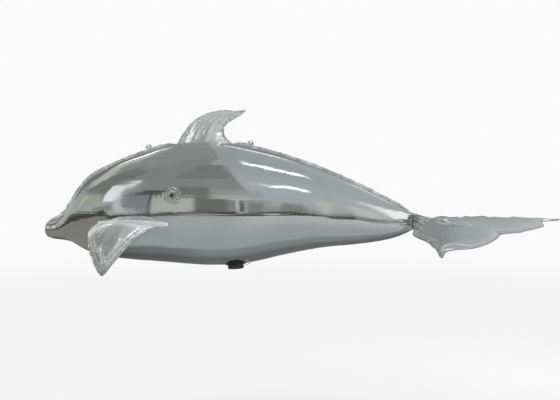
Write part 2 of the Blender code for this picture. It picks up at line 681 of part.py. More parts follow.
def main():
    clear_scene()
    film = material("mirror_film", (0.66, 0.69, 0.68), 0.06, 1.0)
    black = material("black_vinyl", (0.02, 0.021, 0.022), 0.45, 0.0)
    rubber = material("black_rubber", (0.03, 0.03, 0.03), 0.7, 0.0)
    clear = material("clear_vinyl", (0.80, 0.84, 0.83), 0.12, 0.0, 0.5)

    # side panels
    left = add("left_side_panel", *side_panel(-1), film)
    add("right_side_panel", *side_panel(1), film)

    # dorsal fin
    add("dorsal_fin_left_film", *dorsal_half(-1), film)
    add("dorsal_fin_right_film", *dorsal_half(1), film)

    # pectoral fins, each on an empty at its hinge line
    (xa, ya), (xb, yb) = hinge_ends()
    for name, side in PEC_SWING:
        axis = bpy.data.objects.new(name + "_pectoral_fin_hinge", None)
        axis.location = (0.5 * (xa + xb), side * 0.5 * (ya + yb), PEC_ROOT_Z)
        bpy.context.scene.collection.objects.link(axis)
        add(name + "_fin_root_strip", *pec_root_strip(side), film)
        add(name + "_pectoral_outer_film", *pectoral_half(side, 1), film,
            parent=axis, loc=axis.location)
        add(name + "_pectoral_inner_film", *pectoral_half(side, -1), film,
            parent=axis, loc=axis.location)

    # tail fluke on an empty at its swing axis
    swing = bpy.data.objects.new("tail_swing_axis", None)
    swing.location = (0.866, 0.0, NECK_Z)
    bpy.context.scene.collection.objects.link(swing)
    add("tail_neck", *fluke_neck(), film, parent=swing, loc=swing.location)
    add("tail_fluke_upper_film", *fluke_half(1), film, parent=swing, loc=swing.location)
    add("tail_fluke_lower_film", *fluke_half(-1), film, parent=swing, loc=swing.location)

    # hanging tabs, each with a punched hole
    for name, x in TABS:
        z = film_top(x, 0.0) + flange_height(x) + 0.0008
        rise = film_top(x + 0.01, 0.0) + flange_height(x + 0.01) - z + 0.0008
        lean = math.atan2(rise, 0.01)

        def on_seam(p, q, x=x, z=z, lean=lean):
            """A point p along the seam and q off it."""
            return (x + p * math.cos(lean) - q * math.sin(lean),
                    z + p * math.sin(lean) + q * math.cos(lean))

        seg = 20
        outline = []
        for k in range(seg + 1):
            a = math.pi * k / seg
            outline.append(on_seam(
                0.5 * TAB_LEN * math.copysign(abs(math.cos(a)) ** 0.6, math.cos(a)),
                TAB_H * abs(math.sin(a)) ** 0.6,
            ))
        hole = []
        n_h = 16
        for k in range(n_h):
            a = 2 * math.pi * k / n_h
            hole.append(on_seam(TAB_HOLE * math.cos(a), 0.55 * TAB_H + TAB_HOLE * math.sin(a)))
        verts, faces = [], []
        for y in (-TAB_HALF_T, TAB_HALF_T):
            verts += [Vector((px, y, pz)) for px, pz in outline]
        n_o = len(outline)
        faces.append(tuple(range(n_o)))
        faces.append(tuple(reversed(range(n_o, 2 * n_o))))
        for k in range(n_o):
            k2 = (k + 1) % n_o
            faces.append((k2, k, n_o + k, n_o + k2))
        tab = add(name, verts, outward(verts, faces), clear, smooth=False)
        hv = [Vector((px, y, pz)) for y in (-0.01, 0.01) for px, pz in hole]
        hf = [tuple(range(n_h)), tuple(reversed(range(n_h, 2 * n_h)))]
        hf += [((k + 1) % n_h, k, n_h + k, n_h + (k + 1) % n_h) for k in range(n_h)]
        cut(tab, cutter("cut_" + name, hv, outward(hv, hf)))

    # belly valve: flange and neck, insert, flap, strap, cap
    vz = film_bottom(VALVE_X, VALVE_Y)
    vm = local_frame((VALVE_X, VALVE_Y, vz), surface_normal(VALVE_X, VALVE_Y, vz), (1, 0, 0))
    hole_v, hole_f = revolve([(0, -0.03), (NECK_R + 0.002, -0.03), (NECK_R + 0.002, 0.03), (0, 0.03)], 32)
    cut(left, cutter("cut_belly_valve", placed(vm, hole_v), hole_f))

    def drape(v):
        r = math.hypot(v.x, v.y)
        if r < NECK_R + 0.004:
            return 0.0
        return drop_to_film(vm, v.x, v.y) * min(1.0, (r - NECK_R - 0.004) / 0.004)

    base = [
        (NECK_BORE, -0.014), (NECK_R - 0.001, -0.014), (NECK_R, -0.010), (NECK_R, 0.0006),
        (NECK_R + 0.0042, 0.0006), (NECK_R + 0.0090, 0.0012), (VALVE_FLANGE_R - 0.001, 0.0012),
        (VALVE_FLANGE_R, 0.0020), (VALVE_FLANGE_R - 0.001, 0.0032), (NECK_R + 0.0090, 0.0034),
        (NECK_R + 0.0042, 0.0034), (NECK_R, 0.0034), (NECK_R, 0.0150), (NECK_R - 0.0012, 0.0162),
        (NECK_BORE, 0.0162),
    ]
    v, f = revolve(base, 28, drape)
    add("belly_valve_base", placed(vm, v), f, black)
    insert = [
        (0.0, -0.0040), (0.0050, -0.0040), (0.0050, -0.0005), (0.0200, -0.0005),
        (0.0215, -0.0030), (NECK_BORE - 0.0006, -0.0030), (NECK_BORE - 0.0006, 0.0040),
        (0.0205, 0.0040), (0.0180, 0.0015), (0.0060, 0.0015), (0.0050, 0.0040), (0.0, 0.0040),
    ]
    v, f = revolve(insert, 24)
    add("belly_valve_insert", placed(vm, v), f, black)
    flap = [(0.0, -0.0062), (0.0215, -0.0062), (0.0215, -0.0046), (0.0, -0.0046)]
    v, f = revolve(flap, 24)
    add("belly_valve_flap", placed(vm, v), f, rubber)
    cap = [
        (0.0, 0.0175), (NECK_R + 0.0013, 0.0175), (NECK_R + 0.0013, 0.0062), (CAP_R, 0.0062),
        (CAP_R, 0.0195), (CAP_R - 0.0016, 0.0212), (0.0, 0.0220),
    ]
    v, f = revolve(cap, 32)
    hinge_at = vm @ Vector((CAP_HINGE_X, 0.0, CAP_HINGE_Z))
    axis = bpy.data.objects.new("belly_valve_cap_hinge", None)
    axis.location = hinge_at
    bpy.context.scene.collection.objects.link(axis)
    cap_ob = add("belly_valve_cap", placed(vm, v), f, black, parent=axis, loc=hinge_at)
    lug_v, lug_f = bar(
        [(CAP_R - 0.0030, 0.0112), (CAP_R + 0.0020, 0.0106), (CAP_R + 0.0060, 0.0090),
         (CAP_HINGE_X - 0.0004, CAP_HINGE_Z - 0.0012)],
        -0.008, 0.008, 0.0020)
    lug = cutter("cap_arm", placed(vm, lug_v), lug_f)
    mod = cap_ob.modifiers.new("arm", "BOOLEAN")
    mod.operation = "UNION"
    mod.object = lug
    mod.solver = "EXACT"
    x_out = CAP_HINGE_X + 0.0004
    sv, sf = bar(
        [(x_out, CAP_HINGE_Z - 0.0011), (x_out + 0.006, 0.0072), (x_out + 0.012, 0.0040),
         (x_out + 0.016, 0.0014), (x_out + 0.026, 0.0008)],
        -0.008, 0.008, 0.0018)
    add("belly_valve_strap", placed(vm, sv), sf, clear)

    # flank valve: clear patch, stem and plug
    py = -film_y(PLUG_X, PLUG_Z)
    fm = local_frame((PLUG_X, py, PLUG_Z), surface_normal(PLUG_X, py, PLUG_Z), (1, 0, 0))
    hv, hf = revolve([(0, -0.03), (STEM_R + 0.0015, -0.03), (STEM_R + 0.0015, 0.03), (0, 0.03)], 24)
    cut(left, cutter("cut_flank_valve", placed(fm, hv), hf))

    def lie(v):
        return drop_to_film(fm, v.x, v.y)

    rings = [STEM_R + 0.0006, 0.016, 0.026, 0.036, PATCH_R]
    patch = [(r, 0.0006) for r in rings] + [(r, 0.0018) for r in reversed(rings)]
    v, f = revolve(patch, 24, lie)
    add("flank_valve_patch", placed(fm, v), f, clear)
    stem = [
        (STEM_BORE, -0.016), (STEM_R, -0.016), (STEM_R, 0.0090), (STEM_R + 0.0012, 0.0100),
        (STEM_R + 0.0012, 0.0118), (STEM_R, 0.0126), (STEM_BORE, 0.0126),
    ]
    v, f = revolve(stem, 20)
    add("flank_valve_stem", placed(fm, v), f, clear)
    plug = [
        (0.0, 0.0010), (STEM_BORE - 0.0009, 0.0010), (STEM_BORE - 0.0004, 0.0040),
        (STEM_BORE - 0.0004, 0.0130), (0.0096, 0.0130), (0.0100, 0.0140), (0.0096, 0.0152), (0.0, 0.0158),
    ]
    v, f = revolve(plug, 20)
    add("flank_valve_plug", placed(fm, v), f, clear)


main()
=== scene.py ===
"""Looks of the inflatable mirror-film dolphin balloon.

Frame: head towards -X, tail towards +X, left flank towards -Y, +Z up, metres.
The films are rebuilt as fine skins with their welds, puckers and folds, on the
same stations as the construction; the valves and tabs get finer solids too.
"""

import math

import bpy
import numpy as np
from mathutils import Matrix, Vector


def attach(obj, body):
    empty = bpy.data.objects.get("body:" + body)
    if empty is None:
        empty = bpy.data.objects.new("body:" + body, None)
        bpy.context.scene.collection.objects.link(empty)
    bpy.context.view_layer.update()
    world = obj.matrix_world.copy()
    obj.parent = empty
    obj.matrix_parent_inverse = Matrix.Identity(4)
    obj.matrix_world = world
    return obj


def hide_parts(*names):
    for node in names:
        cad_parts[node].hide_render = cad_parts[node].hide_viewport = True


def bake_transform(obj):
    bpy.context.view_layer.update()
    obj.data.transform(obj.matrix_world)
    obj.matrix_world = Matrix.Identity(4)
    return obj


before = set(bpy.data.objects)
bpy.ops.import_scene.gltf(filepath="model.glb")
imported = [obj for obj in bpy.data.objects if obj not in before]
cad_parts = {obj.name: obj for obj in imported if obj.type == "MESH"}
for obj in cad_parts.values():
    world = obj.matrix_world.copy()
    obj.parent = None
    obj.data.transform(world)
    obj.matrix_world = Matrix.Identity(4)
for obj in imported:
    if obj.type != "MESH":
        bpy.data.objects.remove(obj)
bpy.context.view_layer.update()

# ------------------------------------------------------------- construction
X_TIP = -0.975
X_NOSE = -0.945
X_TAIL = 0.860
HALF_GAP = 0.00025
FLANGE_H = 0.012
FLANGE_ENDS = (-0.362, -0.320, -0.038, 0.000)
BODY = [
    (-0.960, -0.095, -0.168, 0.040),
    (-0.930, -0.083, -0.179, 0.053),
    (-0.900, -0.066, -0.183, 0.062),
    (-0.870, -0.039, -0.187, 0.075),
    (-0.840, 0.007, -0.195, 0.095),
    (-0.810, 0.057, -0.211, 0.118),
    (-0.780, 0.093, -0.228, 0.141),
    (-0.750, 0.121, -0.242, 0.161),
    (-0.690, 0.157, -0.260, 0.193),
    (-0.600, 0.204, -0.274, 0.226),
    (-0.510, 0.239, -0.284, 0.248),
    (-0.390, 0.279, -0.292, 0.272),
    (-0.270, 0.300, -0.302, 0.287),
    (-0.150, 0.306, -0.309, 0.293),
    (-0.030, 0.297, -0.307, 0.289),
    (0.090, 0.270, -0.288, 0.267),
    (0.210, 0.237, -0.259, 0.237),
    (0.330, 0.199, -0.236, 0.208),
    (0.450, 0.150, -0.218, 0.175),
    (0.570, 0.098, -0.206, 0.145),
    (0.690, 0.039, -0.191, 0.109),
    (0.780, -0.008, -0.170, 0.072),
    (0.825, -0.034, -0.153, 0.043),
    (0.860, -0.051, -0.139, 0.008),
]
DORSAL = [
    ((-0.316, 0.292), (-0.042, 0.300)),
    ((-0.291, 0.334), (-0.064, 0.322)),
    ((-0.262, 0.375), (-0.078, 0.347)),
    ((-0.227, 0.411), (-0.077, 0.373)),
    ((-0.180, 0.439), (-0.062, 0.395)),
    ((-0.125, 0.457), (-0.035, 0.413)),
    ((-0.070, 0.463), (-0.005, 0.429)),
    ((-0.018, 0.458), (0.016, 0.444)),
    ((0.026, 0.463), (0.031, 0.458)),
]
DORSAL_HALF = 0.044
FIN_FLANGE = 0.012
SHEET = 0.0012
PECTORAL = [
    (-0.648, -0.333, 0.000, 0.000),
    (-0.665, -0.380, 0.055, 0.009),
    (-0.671, -0.420, 0.102, 0.033),
    (-0.662, -0.461, 0.143, 0.072),
    (-0.644, -0.501, 0.173, 0.118),
    (-0.620, -0.538, 0.191, 0.166),
    (-0.598, -0.563, 0.199, 0.199),
    (-0.583, -0.576, 0.200, 0.213),
]
PEC_ROOT_Z = -0.083
PEC_ROOT_GAP = 0.0065
PEC_HALF = 0.034
NECK_X = 0.872
NECK_Z = -0.0935
FLUKE_YAW = math.radians(-43.0)
FLUKE_DROOP = math.radians(-4.5)
FLUKE_ROLL = math.radians(4.0)
NECK_LEN = 0.068
FLUKE_UPPER = 0.032
FLUKE_LOWER = 0.014
FLUKE_RIDGE = 0.020
FLUKE = [
    (0.000, 0.073, 0.462),
    (0.040, 0.076, 0.473),
    (0.100, 0.088, 0.490),
    (0.180, 0.116, 0.505),
    (0.270, 0.166, 0.514),
    (0.335, 0.248, 0.516),
    (0.380, 0.318, 0.502),
    (0.425, 0.362, 0.474),
    (0.470, 0.402, 0.463),
    (0.520, 0.442, 0.477),
    (0.555, 0.470, 0.492),
    (0.580, 0.491, 0.505),
]
VALVE_X = -0.018
VALVE_Y = -0.075
NECK_R = 0.033
NECK_BORE = 0.026
VALVE_FLANGE_R = 0.050
CAP_R = 0.0385
CAP_HINGE_X = 0.049
CAP_HINGE_Z = 0.0096
PLUG_X = -0.295
PLUG_Z = 0.049
PATCH_R = 0.042
STEM_R = 0.0085
STEM_BORE = 0.0050
TABS = [("front_hanging_tab", -0.452), ("rear_hanging_tab", 0.052)]
TAB_LEN = 0.032
TAB_H = 0.018
TAB_HALF_T = 0.0012
TAB_HOLE = 0.0038


# ------------------------------------------------------------------- curves
def rule(xs, ys):
    """A smooth curve through (xs, ys) that never swings past its points."""
    xs, ys = np.array(xs, float), np.array(ys, float)
    h, d = np.diff(xs), np.diff(ys) / np.diff(xs)
    m = np.zeros(len(xs))
    m[0], m[-1] = d[0], d[-1]
    for i in range(1, len(xs) - 1):
        if d[i - 1] * d[i] > 0:
            w1, w2 = 2 * h[i] + h[i - 1], h[i] + 2 * h[i - 1]
            m[i] = (w1 + w2) / (w1 / d[i - 1] + w2 / d[i])

    def at(x):
        x = np.clip(np.asarray(x, float), xs[0], xs[-1])
        i = np.clip(np.searchsorted(xs, x, side="right") - 1, 0, len(xs) - 2)
        t = (x - xs[i]) / h[i]
        return ((1 + 2 * t) * (1 - t) ** 2 * ys[i] + t * (1 - t) ** 2 * h[i] * m[i]
                + t * t * (3 - 2 * t) * ys[i + 1] + t * t * (t - 1) * h[i] * m[i + 1])

    return at


def step(a, b, x):
    t = np.clip((np.asarray(x, float) - a) / (b - a), 0.0, 1.0)
    return t * t * (3 - 2 * t)


def wave1(seed, n=256):
    """Smooth random curve with one knot for each unit of x, about -1 to 1."""
    r = np.random.RandomState(seed).uniform(-1, 1, n)

    def at(x):
        x = np.asarray(x, float)
        i = np.floor(x).astype(int)
        f = x - i
        f = f * f * f * (f * (f * 6 - 15) + 10)
        return r[i % n] * (1 - f) + r[(i + 1) % n] * f

    return at


def wave2(seed, n=64):
    """Smooth random surface with one knot for each unit of u and v."""
    r = np.random.RandomState(seed).uniform(-1, 1, (n, n))

    def at(u, v):
        u, v = np.asarray(u, float), np.asarray(v, float)
        i, j = np.floor(u).astype(int), np.floor(v).astype(int)
        f, g = u - i, v - j
        f = f * f * f * (f * (f * 6 - 15) + 10)
        g = g * g * g * (g * (g * 6 - 15) + 10)
        a = r[i % n, j % n] * (1 - f) + r[(i + 1) % n, j % n] * f
        b = r[i % n, (j + 1) % n] * (1 - f) + r[(i + 1) % n, (j + 1) % n] * f
        return a * (1 - g) + b * g

    return at


def creases(seed, arc, dist, pitch, length, depth, sharp=1.0):
    """Pinched folds that start at a weld and fade out away from it.

    arc runs along the weld and dist away from it, both in metres. Each fold
    is a narrow valley that narrows to a point at its own length.
    """
    rng = np.random.RandomState(seed)
    out = np.zeros(np.broadcast(arc, dist).shape)
    lo, hi = float(np.min(arc)), float(np.max(arc))
    at = lo + pitch * rng.uniform(0.2, 1.0)
    while at < hi:
        reach = length * rng.uniform(0.45, 1.25)
        a = depth * rng.uniform(0.3, 1.15)
        wide = pitch * rng.uniform(0.14, 0.26) * sharp
        lean = rng.uniform(-0.35, 0.35)
        t = np.clip(1.0 - dist / reach, 0.0, 1.0)
        off = arc - at - lean * dist
        width = wide * (0.35 + 0.65 * t)
        out -= a * t ** 1.4 * np.exp(-(off / width) ** 2)
        at += pitch * rng.uniform(0.6, 1.5)
    return out


# ------------------------------------------------------------------- meshes
MADE = []


def volume(verts, faces):
    tri = []
    for f in faces:
        for k in range(1, len(f) - 1):
            tri.append((f[0], f[k], f[k + 1]))
    t = verts[np.array(tri)]
    return float(np.einsum("ij,ij->i", t[:, 0], np.cross(t[:, 1], t[:, 2])).sum()) / 6.0


def build(name, verts, faces, mat, flat_angle=None):
    verts = np.array([tuple(v) for v in verts], float) if not isinstance(verts, np.ndarray) else verts
    if volume(verts, faces) < 0:
        faces = [tuple(reversed(f)) for f in faces]
    mesh = bpy.data.meshes.new(name)
    mesh.from_pydata(verts.tolist(), [], faces)
    mesh.validate()
    mesh.update()
    mesh.materials.append(mat)
    mesh.shade_smooth()
    if flat_angle:
        mesh.set_sharp_from_angle(angle=math.radians(flat_angle))
    ob = bpy.data.objects.new(name, mesh)
    bpy.context.scene.collection.objects.link(ob)
    MADE.append(ob)
    return ob


def between(front, back):
    """A closed solid between two grids (rows, columns, 3) of the same size."""
    rows, cols = front.shape[:2]
    verts = np.concatenate([front.reshape(-1, 3), back.reshape(-1, 3)])
    off = rows * cols
    faces = []
    for i in range(rows - 1):
        for j in range(cols - 1):
            a = i * cols + j
            faces.append((a, a + 1, a + cols + 1, a + cols))
            faces.append((off + a, off + a + cols, off + a + cols + 1, off + a + 1))
    for j in range(cols - 1):
        a, b = j, (rows - 1) * cols + j
        faces.append((a, off + a, off + a + 1, a + 1))
        faces.append((b, b + 1, off + b + 1, off + b))
    for i in range(rows - 1):
        a, b = i * cols, i * cols + cols - 1
        faces.append((a, a + cols, off + a + cols, off + a))
        faces.append((b, off + b, off + b + cols, b + cols))
    return verts, faces


def grid_normals(p):
    """Unit normals of a grid of points (rows, columns, 3)."""
    du = np.gradient(p, axis=0)
    dv = np.gradient(p, axis=1)
    n = np.cross(du, dv)
    ln = np.linalg.norm(n, axis=-1, keepdims=True)
    return n / np.maximum(ln, 1e-12)


def lengths(p, axis):
    """Distance run along an axis of a grid of points."""
    d = np.linalg.norm(np.diff(p, axis=axis), axis=-1)
    pad = [(0, 0), (0, 0)]
    pad[axis] = (1, 0)
    return np.pad(np.cumsum(d, axis=axis), pad)


# ---------------------------------------------------------------- materials
def new_material(name):
    mat = bpy.data.materials.new(name)
    mat.use_nodes = True
    nt = mat.node_tree
    return mat, nt, nt.nodes["Principled BSDF"]


def node(nt, kind, **values):
    n = nt.nodes.new(kind)
    for k, v in values.items():
        if k.startswith("in_"):
            key = k[3:]
            key = int(key) if key.isdigit() else key.replace("_", " ")
            n.inputs[key].default_value = v
        else:
            setattr(n, k, v)
    return n


def mirror_film(name, weld=False, fin=None, crumple=0.0050):
    """Aluminised vinyl film: bright, with smudges, drawing lines and fine orange peel.

    On a weld the coating is dulled by the heat, and on a fin it is finely crumpled. The fins, the fluke and the fin
    root strip get lighter or darker tones of the same film, which are painted highlight and painted shade.
    """
    mat, nt, p = new_material(name)
    lk = nt.links.new
    co = node(nt, "ShaderNodeTexCoord")
    fin_lean, fin = fin, fin is not None
    p.inputs["Metallic"].default_value = 0.58 if weld else 0.90 if fin else 1.0
    tone = node(nt, "ShaderNodeTexNoise", in_Scale=17.0 if weld else 2.6, in_Detail=3.0, in_Roughness=0.55)
    lk(co.outputs["Object"], tone.inputs["Vector"])
    ramp = node(nt, "ShaderNodeValToRGB")
    ramp.color_ramp.elements[0].position = 0.30
    low, high = ((0.46, 0.475, 0.475), (0.92, 0.94, 0.94)) if weld else ((0.61, 0.64, 0.63), (0.69, 0.715, 0.71))
    # painted light: the fins get lighter tones and the fluke a darker tone than the hull, though all are the same
    # film; painted highlight on the fins, painted shade on the fluke
    if fin:
        low, high = (0.68, 0.705, 0.70), (0.78, 0.80, 0.80)
    if name == "film_dorsal":
        low, high = (0.74, 0.765, 0.76), (0.84, 0.86, 0.86)
    if name == "film_fluke":
        low, high = (0.56, 0.60, 0.60), (0.65, 0.685, 0.685)
    if name == "film_root_highlight":
        # a strip of heavier, whiter film that was not mirror coated as fully
        # painted highlight: the root weld strip gets a whiter, less metallic finish than the other welds, standing for
        # the bright reflection along the fin root
        low, high = (0.80, 0.83, 0.83), (0.90, 0.93, 0.93)
        p.inputs["Metallic"].default_value = 0.42
    ramp.color_ramp.elements[0].color = (*low, 1)
    ramp.color_ramp.elements[1].position = 0.70
    ramp.color_ramp.elements[1].color = (*high, 1)
    lk(tone.outputs["Fac"], ramp.inputs["Fac"])
    lk(ramp.outputs["Color"], p.inputs["Base Color"])
    if name == "film_dorsal":
        # painted highlight: the whole fin is made less metallic and its top is mixed towards pale, standing for the
        # bright reflection there
        p.inputs["Metallic"].default_value = 0.80
        where = node(nt, "ShaderNodeSeparateXYZ")
        lk(co.outputs["Object"], where.inputs["Vector"])
        tip = node(nt, "ShaderNodeMapRange", interpolation_type="SMOOTHSTEP")
        tip.inputs["From Min"].default_value = 0.36
        tip.inputs["From Max"].default_value = 0.45
        lk(where.outputs["Z"], tip.inputs["Value"])
        pale = node(nt, "ShaderNodeMix", data_type="RGBA")
        lk(tip.outputs["Result"], pale.inputs["Factor"])
        lk(ramp.outputs["Color"], pale.inputs[6])
        pale.inputs[7].default_value = (0.91, 0.93, 0.935, 1)
        lk(pale.outputs[2], p.inputs["Base Color"])
    # painted highlight: near the fin root the film is mixed towards white and made less metallic, standing for the
    # bright reflection on the upward-facing shoulder
    if name == "film_pectoral":
        where = node(nt, "ShaderNodeSeparateXYZ")
        lk(co.outputs["Object"], where.inputs["Vector"])
        out = node(nt, "ShaderNodeMath", operation="ABSOLUTE")
        lk(where.outputs["Y"], out.inputs[0])
        root = node(nt, "ShaderNodeMapRange", interpolation_type="SMOOTHSTEP")
        root.inputs["From Min"].default_value = 0.378
        root.inputs["From Max"].default_value = 0.342
        lk(out.outputs["Value"], root.inputs["Value"])
        less = node(nt, "ShaderNodeMapRange")
        less.inputs["To Min"].default_value = 0.90
        less.inputs["To Max"].default_value = 0.52
        lk(root.outputs["Result"], less.inputs["Value"])
        lk(less.outputs["Result"], p.inputs["Metallic"])
        white = node(nt, "ShaderNodeMix", data_type="RGBA")
        lk(root.outputs["Result"], white.inputs["Factor"])
        lk(ramp.outputs["Color"], white.inputs[6])
        white.inputs[7].default_value = (0.86, 0.89, 0.89, 1)
        lk(white.outputs[2], p.inputs["Base Color"])
    # smudges and a little haze
    smudge = node(nt, "ShaderNodeTexNoise", in_Scale=9.0, in_Detail=5.0, in_Roughness=0.6, in_Distortion=0.6)
    lk(co.outputs["Object"], smudge.inputs["Vector"])
    rough = node(nt, "ShaderNodeMapRange")
    rough.inputs["From Min"].default_value = 0.35
    rough.inputs["From Max"].default_value = 0.75
    rough.inputs["To Min"].default_value = 0.22 if weld else 0.085 if fin else 0.060
    rough.inputs["To Max"].default_value = 0.38 if weld else 0.170 if fin else 0.125
    lk(smudge.outputs["Fac"], rough.inputs["Value"])
    lk(rough.outputs["Result"], p.inputs["Roughness"])
    # lines drawn along the film when it was rolled out, and fine orange peel
    stretch = node(nt, "ShaderNodeMapping")
    stretch.inputs["Scale"].default_value = (1.6, 1.6, 64.0)
    lk(co.outputs["Object"], stretch.inputs["Vector"])
    lines = node(nt, "ShaderNodeTexNoise", in_Scale=1.0, in_Detail=2.0, in_Roughness=0.5)
    lk(stretch.outputs["Vector"], lines.inputs["Vector"])
    peel = node(nt, "ShaderNodeTexNoise", in_Scale=120.0 if not weld else 260.0, in_Detail=2.0)
    lk(co.outputs["Object"], peel.inputs["Vector"])
    b1 = node(nt, "ShaderNodeBump", in_Strength=1.0, in_Distance=0.0006)
    lk(lines.outputs["Fac"], b1.inputs["Height"])
    b2 = node(nt, "ShaderNodeBump", in_Strength=1.0, in_Distance=0.00008 if not weld else 0.00014)
    lk(peel.outputs["Fac"], b2.inputs["Height"])
    lk(b1.outputs["Normal"], b2.inputs["Normal"])
    if weld:
        # pattern that the welding bar leaves
        cross = node(nt, "ShaderNodeTexWave", in_Scale=95.0)
        cross.wave_type = "BANDS"
        cross.bands_direction = "DIAGONAL"
        lk(co.outputs["Object"], cross.inputs["Vector"])
        b3 = node(nt, "ShaderNodeBump", in_Strength=0.5, in_Distance=0.00018)
        lk(cross.outputs["Fac"], b3.inputs["Height"])
        lk(b2.outputs["Normal"], b3.inputs["Normal"])
        lk(b3.outputs["Normal"], p.inputs["Normal"])
    elif fin:
        # fine crumpling of the film between its two welds
        turned = node(nt, "ShaderNodeMapping")
        turned.inputs["Rotation"].default_value = (0.0, math.radians(fin_lean), 0.0)
        lk(co.outputs["Object"], turned.inputs["Vector"])
        drawn = node(nt, "ShaderNodeMapping")
        drawn.inputs["Scale"].default_value = (34.0, 8.0, 5.0)
        lk(turned.outputs["Vector"], drawn.inputs["Vector"])
        warp = node(nt, "ShaderNodeTexNoise", in_Scale=1.0, in_Detail=2.0, in_Roughness=0.45, in_Distortion=0.6)
        lk(drawn.outputs["Vector"], warp.inputs["Vector"])
        b3 = node(nt, "ShaderNodeBump", in_Strength=1.0, in_Distance=crumple)
        lk(warp.outputs["Fac"], b3.inputs["Height"])
        lk(b2.outputs["Normal"], b3.inputs["Normal"])
        lk(b3.outputs["Normal"], p.inputs["Normal"])
    else:
        lk(b2.outputs["Normal"], p.inputs["Normal"])
    return mat


def clear_vinyl(name, base=(0.80, 0.84, 0.83), through=0.9):
    mat, nt, p = new_material(name)
    lk = nt.links.new
    co = node(nt, "ShaderNodeTexCoord")
    p.inputs["Base Color"].default_value = (*base, 1)
    p.inputs["IOR"].default_value = 1.5
    p.inputs["Transmission Weight"].default_value = through
    haze = node(nt, "ShaderNodeTexNoise", in_Scale=60.0, in_Detail=3.0)
    lk(co.outputs["Object"], haze.inputs["Vector"])
    rough = node(nt, "ShaderNodeMapRange")
    rough.inputs["To Min"].default_value = 0.03
    rough.inputs["To Max"].default_value = 0.14
    lk(haze.outputs["Fac"], rough.inputs["Value"])
    lk(rough.outputs["Result"], p.inputs["Roughness"])
    bump = node(nt, "ShaderNodeBump", in_Strength=0.5, in_Distance=0.0003)
    lk(haze.outputs["Fac"], bump.inputs["Height"])
    lk(bump.outputs["Normal"], p.inputs["Normal"])
    return mat


def black(name, low, high, grain, lift, dark=(0.010, 0.0105, 0.011), light=(0.030, 0.031, 0.033)):
    mat, nt, p = new_material(name)
    lk = nt.links.new
    co = node(nt, "ShaderNodeTexCoord")
    tone = node(nt, "ShaderNodeTexNoise", in_Scale=55.0, in_Detail=4.0)
    lk(co.outputs["Object"], tone.inputs["Vector"])
    ramp = node(nt, "ShaderNodeValToRGB")
    ramp.color_ramp.elements[0].position = 0.35
    ramp.color_ramp.elements[0].color = (*dark, 1)
    ramp.color_ramp.elements[1].position = 0.75
    ramp.color_ramp.elements[1].color = (*light, 1)
    lk(tone.outputs["Fac"], ramp.inputs["Fac"])
    lk(ramp.outputs["Color"], p.inputs["Base Color"])
    rough = node(nt, "ShaderNodeMapRange")
    rough.inputs["To Min"].default_value = low
    rough.inputs["To Max"].default_value = high
    lk(tone.outputs["Fac"], rough.inputs["Value"])
    lk(rough.outputs["Result"], p.inputs["Roughness"])
    fine = node(nt, "ShaderNodeTexNoise", in_Scale=grain, in_Detail=2.0)
    lk(co.outputs["Object"], fine.inputs["Vector"])
    bump = node(nt, "ShaderNodeBump", in_Strength=0.7, in_Distance=lift)
    lk(fine.outputs["Fac"], bump.inputs["Height"])
    lk(bump.outputs["Normal"], p.inputs["Normal"])
    return mat


FILM = mirror_film("film_mirror")
WELD = mirror_film("film_weld", weld=True)
# weld film painted whiter as a highlight along the fin roots
ROOT = mirror_film("film_root_highlight", weld=True)
FIN_TOP = mirror_film("film_dorsal", fin=-43.0, crumple=0.0036)
FIN_SIDE = mirror_film("film_pectoral", fin=-23.0)
FIN_TAIL = mirror_film("film_fluke", fin=12.0, crumple=0.0022)
CLEAR = clear_vinyl("vinyl_clear")
BLACK = black("vinyl_black", 0.30, 0.52, 900.0, 0.0002)
# painted shade: the plug is clear vinyl given a near-black tint and little transmission so that its head and cross
# read dark
PLUG_SHADE = clear_vinyl("vinyl_plug", (0.05, 0.055, 0.057), 0.35)
RUBBER = black("rubber_black", 0.62, 0.80, 500.0, 0.0003)

# ----------------------------------------------------------------- the hull
_x = [b[0] for b in BODY]
top_of = rule(_x, [b[1] for b in BODY])
belly_of = rule(_x, [b[2] for b in BODY])
half_of = rule(_x, [b[3] for b in BODY])


def section(x):
    """Middle height, half height and half width of the film at x."""
    x = np.asarray(x, float)
    q = np.maximum(x, _x[0])
    mid = 0.5 * (top_of(q) + belly_of(q))
    f = np.sqrt(np.clip(1.0 - (np.clip(X_NOSE - x, 0, None) / (X_NOSE - X_TIP)) ** 2, 0.0, 1.0))
    r = np.maximum(x, X_NOSE)
    hh = 0.5 * (top_of(r) - belly_of(r)) * f
    w = half_of(r) * f
    return mid, hh, w


def flange_height(x):
    x = np.asarray(x, float)
    h = FLANGE_H * step(X_TIP, X_TIP + 0.05, x)
    h = h + 0.006 * np.exp(-(((x + 0.70) / 0.045) ** 2))
    under = step(FLANGE_ENDS[0], FLANGE_ENDS[1], x) * (1.0 - step(FLANGE_ENDS[2], FLANGE_ENDS[3], x))
    h = h * (1.0 - under) + 0.001 * under
    h = h * (1.0 - 0.25 * np.exp(-(((x + 0.83) / 0.06) ** 2)))
    return np.maximum(h * (1.0 - 0.6 * step(0.80, 0.86, x)), 0.001)


def film_y(x, z):
    mid, hh, w = section(x)
    return w * np.sqrt(np.clip(1.0 - ((z - mid) / hh) ** 2, 0.0, 1.0))


def film_top(x, y):
    mid, hh, w = section(x)
    return mid + hh * np.sqrt(np.clip(1.0 - (y / w) ** 2, 0.0, 1.0))


def film_bottom(x, y):
    mid, hh, w = section(x)
    return mid - hh * np.sqrt(np.clip(1.0 - (y / w) ** 2, 0.0, 1.0))


